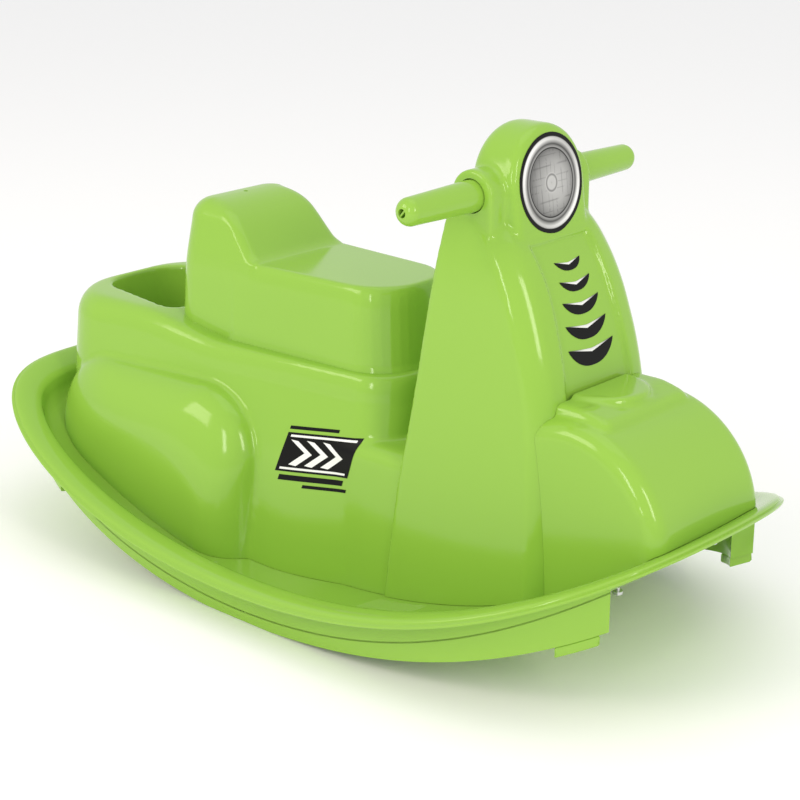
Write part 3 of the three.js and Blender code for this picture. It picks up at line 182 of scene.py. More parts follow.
@dataclass
class BlockPlan:
    """A plan outline with round corners, wider at a hip and bowed at its front.

    Attributes:
        rear: its rear end.
        front: its front end.
        rear_half: half its width at the rear.
        front_half: half its width at the front.
        rear_round: the rear corners' radius.
        front_round: the front corners' radius.
        hip: where the hip is, or None.
        hip_half: half the width there.
        bow: how far the front's middle stands out.
        side_steps: the steps along each side.
        corner_steps: the steps round each corner and along each half of an end.
    """

    rear: float
    front: float
    rear_half: float
    front_half: float
    rear_round: float
    front_round: float
    hip: float | None = None
    hip_half: float = 0.0
    bow: float = 0.0
    side_steps: int = 24
    corner_steps: int = 8

    def _bowed(self, across: float) -> float:
        """How far the front stands out at a place across it."""
        return self.bow * math.cos(math.pi / 2 * across / self.front_half)

    def ring(self, height_at: Curve) -> Ring:
        """The outline as a ring.

        Args:
            height_at: its height at a place along X.

        Returns:
            The ring, from its front middle round by the left.
        """
        steps = self.corner_steps
        flat = self.front_half - self.front_round
        left = [(self.front + self._bowed(across), across) for across in spread(0.0, flat, steps)[:-1]]
        for inward, outward in quarter(steps, 0):
            across = flat + self.front_round * outward
            left.append((self.front - self.front_round * inward + self._bowed(across), across))
        start, end = self.front - self.front_round, self.rear + self.rear_round
        hip = [] if self.hip is None else [(-self.hip, self.hip_half)]
        rows = [(-start, self.front_half), *hip, (-end, self.rear_half)]
        left += [(x, through(rows, -x)[0]) for x in spread(start, end, self.side_steps)[1:]]
        corner = self.rear_round
        left += [(end - corner * back, self.rear_half - corner * inward) for inward, back in quarter(steps)]
        left += [(self.rear, across) for across in spread(self.rear_half - self.rear_round, 0.0, steps)[1:]]
        return [(x, y, height_at(x)) for x, y in mirrored(left)]


# Solids


def next_ring(work: Mesh, loop: list[Vertex], ring: Ring) -> list[Vertex]:
    """Draws a loop out to its next ring.

    Args:
        work: the mesh being made.
        loop: the loop's vertices in order.
        ring: where their twins go, in millimetres.

    Returns:
        The twins in the same order.
    """
    edges = [work.edges.get((a, b)) for a, b in zip(loop, loop[1:] + loop[:1])]
    grown = bmesh.ops.extrude_edge_only(work, edges=edges)
    fresh = {item for item in grown["geom"] if isinstance(item, Vertex)}
    twins = [next(e.other_vert(v) for e in v.link_edges if e.other_vert(v) in fresh) for v in loop]
    for twin, place in zip(twins, ring):
        twin.co = Vector(place) * MM
    return twins


def close_end(work: Mesh, loop: list[Vertex], axis: Axis) -> None:
    """Closes a loop with strips that meet on its middle line.

    Args:
        work: the mesh being made.
        loop: the loop's vertices in order.
        axis: the axis across the middle line.
    """
    middle = sum(v.co[axis.value] for v in loop) / len(loop)
    flat = []
    for vertex in loop:
        place = vertex.co.copy()
        place[axis.value] = middle
        flat.append(tuple(place / MM))
    twins = next_ring(work, loop, flat)
    bmesh.ops.remove_doubles(work, verts=loop + twins, dist=MERGE)


@dataclass
class Loft:
    """A closed solid through a row of rings.

    Attributes:
        rings: the rings, each with the same count of places.
        axis: the axis across the middle line on which each end closes.
    """

    rings: Sequence[Ring]
    axis: Axis = Axis.Y

    def add_to(self, work: Mesh) -> None:
        """Adds the solid to a mesh.

        Args:
            work: the mesh that gets it.
        """
        first = self.rings[0]
        found = bmesh.ops.create_circle(work, segments=len(first), radius=1.0)["verts"]
        start = found[:1]
        while len(start) < len(found):
            beside = [e.other_vert(start[-1]) for e in start[-1].link_edges]
            start.append(next(v for v in beside if v not in start[-2:-1]))
        for vertex, place in zip(start, first):
            vertex.co = Vector(place) * MM
        loop = start
        for ring in self.rings[1:]:
            loop = next_ring(work, loop, ring)
        close_end(work, loop, self.axis)
        close_end(work, [v for v in start if v.is_valid], self.axis)


def lofted(*solids: Loft) -> Mesh:
    """Some solids in one mesh, with its faces turned out.

    Args:
        solids: the solids.

    Returns:
        The mesh.
    """
    work = bmesh.new()
    for solid in solids:
        solid.add_to(work)
    bmesh.ops.recalc_face_normals(work, faces=work.faces)
    return work


def cylinder(radius: float, length: float, segments: int) -> Mesh:
    """A closed cylinder round the Z axis, centred, with its sizes in millimetres.

    Args:
        radius: its radius.
        length: its length.
        segments: the sides of its round.

    Returns:
        The solid.
    """
    work = bmesh.new()
    ends = {"radius1": radius * MM, "radius2": radius * MM}
    bmesh.ops.create_cone(work, cap_ends=True, segments=segments, depth=length * MM, **ends)
    return work


def mesh_of(name: str, work: Mesh) -> bpy.types.Mesh:
    """A work mesh as Blender's own data. The work mesh is freed.

    Args:
        name: the data's name.
        work: the work mesh.

    Returns:
        The data.
    """
    mesh = bpy.data.meshes.new(name)
    work.to_mesh(mesh)
    work.free()
    return mesh


def linked(name: str, data: bpy.types.ID) -> bpy.types.Object:
    """A new object of some data, in the scene.

    Args:
        name: its name.
        data: its data.

    Returns:
        The object.
    """
    made = bpy.data.objects.new(name, data)
    bpy.context.scene.collection.objects.link(made)
    return made


def add_mesh(work: Mesh, other: Mesh) -> None:
    """Adds a mesh to another one. The added mesh is freed.

    Args:
        work: the mesh that gets it.
        other: the mesh that is added.
    """
    mesh = mesh_of("added", other)
    work.from_mesh(mesh)
    bpy.data.meshes.remove(mesh)


def baked(work: Mesh, modifiers: Iterable[tuple[str, dict]]) -> Mesh:
    """A mesh with modifiers applied.

    Args:
        work: the mesh, which is freed.
        modifiers: each modifier's kind and settings.

    Returns:
        The new mesh.
    """
    mesh = mesh_of("work", work)
    carrier = linked("work", mesh)
    for kind, settings in modifiers:
        modifier = carrier.modifiers.new(kind, kind)
        for name, value in settings.items():
            setattr(modifier, name, value)
    bpy.context.view_layer.update()
    result = bpy.data.meshes.new_from_object(carrier.evaluated_get(bpy.context.evaluated_depsgraph_get()))
    made = bmesh.new()
    made.from_mesh(result)
    bpy.data.objects.remove(carrier)
    bpy.data.meshes.remove(mesh)
    bpy.data.meshes.remove(result)
    return made


def cut(work: Mesh, cutter: Mesh) -> Mesh:
    """A solid less another one.

    Args:
        work: the solid, which is freed.
        cutter: what is taken off it, which is freed.

    Returns:
        What is left.
    """
    mesh = mesh_of("cutter", cutter)
    tool = linked("cutter", mesh)
    made = baked(work, [("BOOLEAN", {"operation": "DIFFERENCE", "object": tool, "solver": "MANIFOLD"})])
    bpy.data.objects.remove(tool)
    bpy.data.meshes.remove(mesh)
    return made


def melted(work: Mesh, grain: float, rounds: int) -> Mesh:
    """Solids melted into one skin with soft corners.

    Args:
        work: the solids, which are freed.
        grain: the new faces' size in millimetres.
        rounds: how often the skin is smoothed.

    Returns:
        The new skin.
    """
    remesh = ("REMESH", {"mode": "VOXEL", "voxel_size": grain * MM, "use_smooth_shade": True})
    return baked(work, [remesh, ("SMOOTH", {"factor": 0.5, "iterations": rounds})])


# Finishes


def linear(hex_colour: str) -> tuple[float, float, float, float]:
    """An sRGB hex colour as linear light.

    Args:
        hex_colour: six hex digits after a hash.

    Returns:
        Red, green, blue and an alpha of 1.
    """

    def channel(text: str) -> float:
        """One channel as linear light."""
        value = int(text, 16) / 255
        return value / 12.92 if value <= 0.04045 else ((value + 0.055) / 1.055) ** 2.4

    red, green, blue = (channel(hex_colour[i : i + 2]) for i in (1, 3, 5))
    return (red, green, blue, 1.0)


def add_node(
    tree: bpy.types.NodeTree, kind: str, links: dict | None = None, **settings: object
) -> bpy.types.Node:
    """Adds a shader node.

    Args:
        tree: the material's node tree.
        kind: the node's type.
        links: for each input what feeds it, an output socket or a value.
        settings: the node's own settings.

    Returns:
        The node.
    """
    node = tree.nodes.new(kind)
    for name, value in settings.items():
        setattr(node, name, value)
    for name, source in (links or {}).items():
        if isinstance(source, bpy.types.NodeSocket):
            tree.links.new(source, node.inputs[name])
        else:
            node.inputs[name].default_value = source
    return node


@dataclass(frozen=True)
class Finish:
    """A plain finish: one colour, one gloss, and a fine unevenness of the skin.

    Attributes:
        name: the material's name.
        colour: its sRGB hex colour.
        roughness: from 0, a mirror, to 1.
        ior: its index of refraction.
        ripple: the height of the skin's unevenness in millimetres, or 0.
        ripple_width: how wide the unevenness is, in millimetres.
        ink: the colour attribute that gives the colour instead, or an empty text.
    """

    name: str
    colour: str
    roughness: float
    ior: float = 1.5
    ripple: float = 0.0
    ripple_width: float = 8.0
    ink: str = ""

    def material(self) -> bpy.types.Material:
        """The Blender material of this finish, made once.

        Returns:
            The material.
        """
        known = bpy.data.materials.get(self.name)
        if known:
            return known
        material = bpy.data.materials.new(self.name)
        material.use_nodes = True
        material.diffuse_color = linear(self.colour)
        tree = material.node_tree
        shader = tree.nodes["Principled BSDF"]
        shader.inputs["Base Color"].default_value = linear(self.colour)
        shader.inputs["Roughness"].default_value = self.roughness
        shader.inputs["IOR"].default_value = self.ior
        if self.ink:
            ink = add_node(tree, "ShaderNodeAttribute", attribute_name=self.ink)
            tree.links.new(ink.outputs["Color"], shader.inputs["Base Color"])
        if self.ripple:
            place = add_node(tree, "ShaderNodeTexCoord").outputs["Object"]
            waves = {"Vector": place, "Scale": 1 / (self.ripple_width * MM), "Detail": 2.0}
            noise = add_node(tree, "ShaderNodeTexNoise", waves)
            relief = {"Height": noise.outputs["Fac"], "Distance": self.ripple * MM, "Strength": 1.0}
            bump = add_node(tree, "ShaderNodeBump", relief)
            tree.links.new(bump.outputs["Normal"], shader.inputs["Normal"])
        return material


# Blown polyethylene, dyed lime: a deep even colour under a soft gloss, with faint waves of a cooled skin.
LIME_POLYETHYLENE = Finish(
    "lime_blown_polyethylene", "#8FBC44", 0.12, ior=1.45, ripple=0.012, ripple_width=9.0
)
# Printed vinyl film: flat greys that stand in the mesh's ink attribute, with a weak sheen on the blacks.
PRINTED_VINYL = Finish("printed_vinyl_film", "#808080", 0.3, ior=1.2, ink="ink")
# Rolled studio paper: an even matt white that takes a soft shadow.
STUDIO_PAPER = Finish("studio_paper", "#FFFFFF", 0.9)


def shown(
    name: str, work: Mesh, node: str, finish: Finish = LIME_POLYETHYLENE
) -> bpy.types.Object:
    """Makes a finished piece of the object.

    Args:
        name: its name.
        work: its mesh, which is freed.
        node: the CAD node that it stands for, or an empty text where it is added.
        finish: its finish.

    Returns:
        The piece, which rides on the body.
    """
    for face in work.faces:
        face.smooth = True
    mesh = mesh_of(name, work)
    mesh.set_sharp_from_angle(angle=SHARP_EDGE)
    mesh.materials.append(finish.material())
    piece = linked(name, mesh)
    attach(piece, BODY)
    if node:
        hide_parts(node)
    return piece


# Rocker base


@dataclass
class RockerBase:
    """The boat-shaped pan with its rolled rim, two runners, stop feet and tread ribs."""

    length: float = 743.0
    width: float = 392.0
    waist: float = 1.0
    rear_powers: tuple[float, float] = (3.9, 4.8)
    front_powers: tuple[float, float] = (3.7, 2.4)
    outline_steps: int = 4000
    station_count: int = 288
    low: float = -12.0
    floor_low: float = 11.0
    floor_radii: tuple[float, float] = (655.0, 590.0)
    runner_radii: tuple[float, float] = (844.0, 572.0)
    runner_rise: float = 1.0
    rim_low: float = -2.0
    rim_height: float = 34.0
    rim_radii: tuple[float, float] = (752.0, 713.0)
    wall: float = 3.0
    # inset, height over the rim's curve
    lip: tuple[Flat, ...] = ((0.0, 0.6), (0.0, 1.9), (0.7, 2.5), (1.8, 2.7))
    lip_under: float = 0.6
    bead_step: float = 3.0
    roll_width: float = 25.0
    roll_height: float = 4.5
    roll_lift: float = 3.5
    roll_fullness: float = 0.8
    draft: float = 1.5
    fillet: float = 7.5
    under_corner: float = 2.5
    cutter_depth: float = 100.0
    runner_inset: float = 21.5
    runner_width: float = 18.0
    runner_front: float = 324.0
    runner_rear: float = -300.0
    foot_length: float = 40.0
    foot_setback: float = 8.0
    foot_drop: float = 9.0
    foot_edge: float = 1.2
    rib_front: float = 136.0
    rib_rear: float = 80.0
    rib_pitch: float = 2.1
    rib_slant: float = 15.0
    rib_inner: float = 92.0
    rib_outer: tuple[float, float] = (138.0, 128.0)
    # at its root and its crest: half its width as a share of the pitch, and its height over the floor
    rib_root: Flat = (0.4, -0.4)
    rib_crest: Flat = (0.15, 0.35)
    stations: list[tuple[Vector, Vector]] = field(default_factory=list)

    def __post_init__(self) -> None:
        """Places even stations round the outline, each with its inward direction."""
        places = [self._outline_at(i / self.outline_steps) for i in range(self.outline_steps + 1)]
        lengths = [0.0]
        for here, there in zip(places, places[1:]):
            lengths.append(lengths[-1] + (there - here).length)
        self.perimeter = lengths[-1]
        points = []
        index = 0
        for station in range(self.station_count):
            goal = self.perimeter * station / self.station_count
            while lengths[index + 1] < goal:
                index += 1
            share = (goal - lengths[index]) / (lengths[index + 1] - lengths[index])
            points.append(places[index].lerp(places[index + 1], share))
        for before, point, after in zip(points[-1:] + points, points, points[1:] + points[:1]):
            along = (after - before).normalized()
            self.stations.append((point, Vector((-along.y, along.x))))

    def _outline_at(self, share: float) -> Vector:
        """The outline at a share of its turn, from the front tip round by the left.

        Args:
            share: the share, from 0 to 1.

        Returns:
            The place in plan.
        """
        along, across = math.cos(2 * math.pi * share), math.sin(2 * math.pi * share)
        powers = self.front_powers if along > 0 else self.rear_powers
        reach = self.length / 2 - math.copysign(self.waist, along)
        x = self.waist + reach * math.copysign(abs(along) ** (2 / powers[0]), along)
        return Vector((x, self.width / 2 * math.copysign(abs(across) ** (2 / powers[1]), across)))

    @staticmethod
    def _rise(x: float, low: float, radii: tuple[float, float]) -> float:
        """How far an arc has risen at a place along X."""
        radius = radii[0] if x > low else radii[1]
        return radius - math.sqrt(radius**2 - (x - low) ** 2)

    def floor(self, x: float) -> float:
        """The height of the floor's upper face."""
        return self.floor_low + self._rise(x, self.low, self.floor_radii)

    def runner(self, x: float) -> float:
        """The height of the runners' lower edge."""
        return max(0.0, self._rise(x, self.low, self.runner_radii) - self.runner_rise)

    def rim(self, x: float) -> float:
        """The height of the rim's lip."""
        return self.rim_height + self._rise(x, self.rim_low, self.rim_radii)

    def ring(self, inset: float, height_at: Curve, rise: float) -> Ring:
        """A ring round the base.

        Args:
            inset: how far inside the outline it runs.
            height_at: the side-view curve that it follows.
            rise: its height above that curve.

        Returns:
            The ring.
        """
        places = [point + inward * inset for point, inward in self.stations]
        return [(p.x, p.y, height_at(p.x) + rise) for p in places]

    def pan_rings(self, rise: float) -> list[Ring]:
        """The upper face of the pan, raised, from the bead over the rolled rim to the floor.

        Args:
            rise: how far it is raised.

        Returns:
            The rings.
        """
        rings = [self.ring(inset, self.rim, height + rise) for inset, height in self.lip]
        half = self.roll_width / 2
        for angle in spread(0.0, math.pi, 14):
            inset = self.bead_step + half - half * math.cos(angle)
            height = self.roll_lift + self.roll_height * math.sin(angle) ** self.roll_fullness
            rings.append(self.ring(inset, self.rim, height + rise))
        foot = self.bead_step + self.roll_width + self.draft
        for inward, downward in quarter(8, 0):
            height = self.fillet * (1 - downward) + rise
            rings.append(self.ring(foot + self.fillet * inward, self.floor, height))
        return rings

    def below(self, rise: float) -> Mesh:
        """Everything under the pan's upper face when that face is raised."""
        bottom = self.ring(0.0, lambda x: -self.cutter_depth, 0.0)
        return lofted(Loft([bottom, *self.pan_rings(rise)]))

    def pan(self) -> Mesh:
        """The pan as one closed skin.

        Returns:
            The solid.
        """
        middle = self.bead_step + self.roll_width / 2
        under = []
        for angle in spread(0.0, math.pi, 10):
            inset = middle - (self.roll_width / 2 - self.wall) * math.cos(angle)
            height = (self.roll_height - self.wall / 2) * math.sin(angle)
            under.append(self.ring(inset, self.rim, self.roll_lift - self.wall / 2 + height))
        foot = self.bead_step + self.roll_width + self.draft
        under.append(self.ring(foot - self.wall, self.floor, self.under_corner))
        under.append(self.ring(foot + self.fillet, self.floor, -self.wall))
        lip = self.ring(self.lip_under, self.rim, 0.0)
        return lofted(Loft([*reversed(self.pan_rings(0.0)), lip, *under]))

    def share_at(self, x: float, inset: float) -> float:
        """The station on the left half at which the outline, set in, passes a place along X.

        Args:
            x: the place.
            inset: how far the outline is set in.

        Returns:
            A station number with its fraction.
        """
        half = len(self.stations) // 2
        places = [point.x + inward.x * inset for point, inward in self.stations[: half + 1]]
        index = next(i for i in range(half) if places[i + 1] <= x)
        return index + (places[index] - x) / (places[index] - places[index + 1])

    def band(self, side: Side, span: Flat, insets: Flat, heights: tuple[Curve, Curve]) -> Mesh:
        """A band along one side of the base.

        Args:
            side: the side.
            span: the stations where it starts and ends.
            insets: its outer and inner faces' insets.
            heights: the side-view curves of its lower and upper faces.

        Returns:
            The solid.
        """
        start, end = span
        least = 0.05
        (outer, inner), (low, high) = insets, heights
        corners = [(outer, low), (inner, low), (inner, high), (outer, high)]
        rings = []
        for stop in [start, *range(math.ceil(start + least), math.floor(end - least) + 1), end]:
            index = int(stop)
            (a, a_in), (b, b_in) = self.stations[index], self.stations[index + 1]
            point, inward = a.lerp(b, stop - index), a_in.lerp(b_in, stop - index)
            places = [(point + inward * inset, height_at) for inset, height_at in corners]
            rings.append([(at.x, side.value * at.y, height_at(at.x)) for at, height_at in places])
        return lofted(Loft(rings, Axis.Z))

    def runners(self, side: Side) -> Mesh:
        """One runner, an upside-down channel whose outer wall goes up into the rolled rim.

        Args:
            side: which side.

        Returns:
            The runner.
        """
        start = self.share_at(self.runner_front, self.runner_inset)
        end = self.share_at(self.runner_rear, self.runner_inset)
        step = self.wall / self.perimeter * len(self.stations)
        outer, inner = self.runner_inset, self.runner_inset + self.runner_width
        heights = (self.runner, raised(self.floor, -self.wall / 2))
        block = self.band(side, (start, end), (outer, inner), heights)
        heights = (raised(self.runner, -self.wall), raised(self.floor, -self.wall - CLEARANCE))
        hollow = self.band(side, (start + step, end - step), (outer + self.wall, inner - self.wall), heights)
        walls = cut(block, hollow)
        heights = (raised(self.floor, -self.wall), raised(self.rim, self.roll_lift + self.roll_height / 2))
        add_mesh(walls, self.band(side, (start, end), (outer, outer + self.wall), heights))
        return walls

    def foot(self, side: Side, front: bool) -> Mesh:
        """A stop foot under a runner's end.

        Args:
            side: which side.
            front: whether it is the front one.

        Returns:
            The foot.
        """
        at = self.share_at(self.runner_front if front else self.runner_rear, self.runner_inset)
        scale = len(self.stations) / self.perimeter
        near, far = self.foot_setback * scale, (self.foot_setback + self.foot_length) * scale
        span = (at + near, at + far) if front else (at - far, at - near)
        insets = (self.runner_inset + CLEARANCE, self.runner_inset + self.runner_width - CLEARANCE)
        heights = (raised(self.runner, -self.foot_drop), raised(self.runner, -CLEARANCE))
        work = self.band(side, span, insets, heights)
        edges = [edge for edge in work.edges if edge.calc_face_angle(0.0) > BEVELLED_EDGE]
        rounding = {"segments": 3, "affect": "EDGES", "profile": 0.5, "material": -1}
        bmesh.ops.bevel(work, geom=edges, offset=self.foot_edge * MM, **rounding)
        return work

    def ribs(self, side: Side) -> Mesh:
        """The fine tread ribs on the floor beside the leg shield.

        Args:
            side: which side.

        Returns:
            The ribs in one mesh.
        """
        work = bmesh.new()
        slant = math.tan(math.radians(self.rib_slant))
        count = int((self.rib_front - self.rib_rear) / self.rib_pitch)
        for i in range(count):
            x = self.rib_rear + self.rib_pitch * i
            outer = mix(*self.rib_outer, i / count)
            for vertex in bmesh.ops.create_cube(work, size=2.0)["verts"]:
                along, out, up = vertex.co
                across = self.rib_inner if out < 0 else outer
                middle = x - slant * (across - self.rib_inner)
                half, rise = self.rib_crest if up > 0 else self.rib_root
                beside = middle + self.rib_pitch * half * along
                vertex.co = Vector((beside, side.value * across, self.floor(middle) + rise)) * MM
        bmesh.ops.recalc_face_normals(work, faces=work.faces)
        return work

    def build(self) -> list[bpy.types.Object]:
        """Builds and dresses the base.

        Returns:
            Its pieces.
        """
        shell = self.pan()
        for side in Side:
            add_mesh(shell, self.runners(side))
        pieces = [shown("rocker_base_skin", shell, "rocker_base")]
        for side in Side:
            name = side.name.lower()
            for end in ("front", "rear"):
                foot = self.foot(side, end == "front")
                pieces.append(shown(f"stop_foot_skin_{end}_{name}", foot, f"stop_foot_{end}_{name}"))
            pieces.append(shown(f"tread_ribs_{name}", self.ribs(side), ""))
        return pieces


# Seat body


@dataclass
class SeatBody:
    """The seat body with its side pods, rear bucket and step-through tunnel."""

    base: RockerBase
    hip: float = -55.0
    rear_round: float = 52.0
    front_round: float = 38.0
    bow: float = 5.0
    deck: tuple[float, float] = (213.0, 198.0)
    deck_slope: tuple[float, float] = (-238.0, -124.0)
    shoulder: float = 22.0
    shoulder_side: float = 6.0
    shoulder_rear_side: float = 19.0
    # height, rear, front, rear half, hip half, front half
    levels: tuple[tuple[float, ...], ...] = (
        (0, -344, 67, 112, 103, 84),
        (60, -343, 66, 106, 95, 81),
        (110, -342, 63.5, 101, 87.5, 77),
        (144, -341.5, 61, 98, 80.5, 71.5),
        (176, -341, 58, 94, 73.5, 65),
    )
    pod_rear: float = -325.0
    pod_front: float = -69.0
    pod_top: float = 163.0
    pod_knee: float = 50.0
    pod_round: float = 66.0
    pod_root: float = 60.0
    pod_crease: float = 88.0
    pod_half: float = 126.0
    pod_flare: float = 5.0
    pod_crown: tuple[float, float, float] = (46.0, 58.0, 55.0)
    bucket_rear: float = -330.0
    bucket_front: float = -209.0
    bucket_halves: tuple[float, float] = (52.0, 62.0)
    bucket_round: float = 38.0
    bucket_bottom: float = 111.0
    bucket_draft: float = 7.0
    bucket_over: float = 12.0
    tunnel_rear: float = -14.0
    tunnel_front: float = 116.0
    tunnel_top: float = 144.0
    tunnel_edge: float = 15.0
    tunnel_round: float = 3.0
    tunnel_halves: tuple[float, float] = (84.0, 77.0)
    grain: float = 2.1
    rounds: int = 6

    def deck_height(self, x: float) -> float:
        """The height of the deck at a place along X."""
        return mix(self.deck[0], self.deck[1], ease(x, *self.deck_slope))

    def level_height(self, level: float, x: float) -> float:
        """The height of a body level, raised towards the rear as the deck is.

        Args:
            level: its height at the front.
            x: the place along X.

        Returns:
            The height there.
        """
        lowest = self.levels[2][0]
        share = max(0.0, (level - lowest) / (self.deck[1] - lowest))
        return level + share * (self.deck_height(x) - self.deck[1])

    def core(self) -> list[Ring]:
        """The rings of the body without its pods.

        Returns:
            The rings.
        """

        def ring(level: float, row: Sequence[float], shrink: float = 0.0, rear_shrink: float = 0.0) -> Ring:
            """One level of the body.

            Args:
                level: its height at the front.
                row: its rear, front, rear half, hip half and front half.
                shrink: how far it is drawn in.
                rear_shrink: how far its rear corners are drawn in.

            Returns:
                The ring.
            """
            rear, front, rear_half, hip_half, front_half = row
            plan = BlockPlan(
                rear=rear + shrink,
                front=front - shrink,
                rear_half=rear_half - rear_shrink,
                front_half=front_half - shrink,
                rear_round=self.rear_round,
                front_round=self.front_round,
                hip=self.hip,
                hip_half=hip_half - shrink,
                bow=self.bow,
            )
            return plan.ring(lambda x: self.level_height(level, x))

        top = self.levels[-1]
        rings = [ring(height, through(self.levels, height)) for height in spread(0.0, top[0], 24)]
        for inward, upward in quarter(8):
            shrink, rear_shrink = self.shoulder_side * inward, self.shoulder_rear_side * inward
            rings.append(ring(top[0] + self.shoulder * upward, top[1:], shrink, rear_shrink))
        return rings

    def pod(self, side: Side) -> list[Ring]:
        """The rings of a pod, from inside the body outwards.

        Args:
            side: which side.

        Returns:
            The rings.
        """
        front_crown, rear_crown, top_crown = self.pod_crown
        edge = [(self.pod_round * (1 - out), self.pod_round * down) for down, out in quarter(16, 0)]

        def ring(across: float, crown: float, flare: float) -> Ring:
            """One slice of the pod.

            Args:
                across: how far out it lies.
                crown: the share of its crown.
                flare: how far its foot stands out.

            Returns:
                The ring.
            """
            front = self.pod_front - front_crown * crown
            rear = self.pod_rear + rear_crown * crown
            top = self.pod_top - top_crown * crown
            middle = mix(rear, front, 0.5)
            knee = self.pod_knee
            outline = [(middle, top), *((front - back, top - down) for back, down in edge)]
            outline += [(front, knee), (front, 0.0), (middle, 0.0), (rear, 0.0), (rear, knee)]
            outline += [(rear + back, top - down) for back, down in reversed(edge)]
            return [(x, side.value * (across + flare * (1 - z / self.pod_top)), z) for x, z in outline]

        rings = [ring(self.pod_root, 0, 0), ring(self.pod_crease, 0, 0)]
        for inward, upward in quarter(16):
            rings.append(ring(mix(self.pod_crease, self.pod_half, upward), inward, self.pod_flare * upward))
        return rings

    def bucket(self) -> list[Ring]:
        """The rings of the rear bucket's hollow.

        Returns:
            The rings.
        """

        def ring(z: float, draft: float) -> Ring:
            """One level of the hollow.

            Args:
                z: its height.
                draft: how far the draft draws it in.

            Returns:
                The ring.
            """
            plan = BlockPlan(
                rear=self.bucket_rear + draft,
                front=self.bucket_front - draft,
                rear_half=self.bucket_halves[0] - draft,
                front_half=self.bucket_halves[1] - draft,
                rear_round=self.bucket_round - draft,
                front_round=self.bucket_round / 2 - draft,
            )
            return plan.ring(lambda x: z)

        return [ring(self.bucket_bottom, self.bucket_draft), ring(self.deck[0] + self.bucket_over, 0.0)]

    def tunnel(self) -> list[Ring]:
        """The rings of the tunnel that runs forward to the leg shield.

        Returns:
            The rings.
        """
        edge, (foot_half, top_half) = self.tunnel_edge, self.tunnel_halves

        def ring(z: float, half: float) -> Ring:
            """One level of the tunnel.

            Args:
                z: its height.
                half: half its width.

            Returns:
                The ring.
            """
            corner = self.tunnel_round
            plan = BlockPlan(self.tunnel_rear, self.tunnel_front, half, half, corner, corner)
            return plan.ring(lambda x: z)

        shoulder = self.tunnel_top - edge
        rings = [ring(0.0, foot_half), ring(shoulder, top_half)]
        return rings + [ring(shoulder + edge * up, top_half - edge * inward) for inward, up in quarter(10)]

    def build(self, shield: LegShield) -> list[bpy.types.Object]:
        """Builds and dresses the seat body.

        Args:
            shield: the leg shield that it stops against.

        Returns:
            Its pieces.
        """
        pods = [Loft(self.pod(side), Axis.X) for side in Side]
        solid = melted(lofted(Loft(self.core()), Loft(self.tunnel()), *pods), self.grain, 1)
        solid = cut(solid, lofted(Loft(self.bucket())))
        solid = melted(solid, self.grain, self.rounds)
        solid = cut(solid, self.base.below(CLEARANCE))
        solid = cut(solid, lofted(Loft(shield.wall_rings(CLEARANCE))))
        return [shown("seat_body_skin", solid, "seat_body")]


# Seat


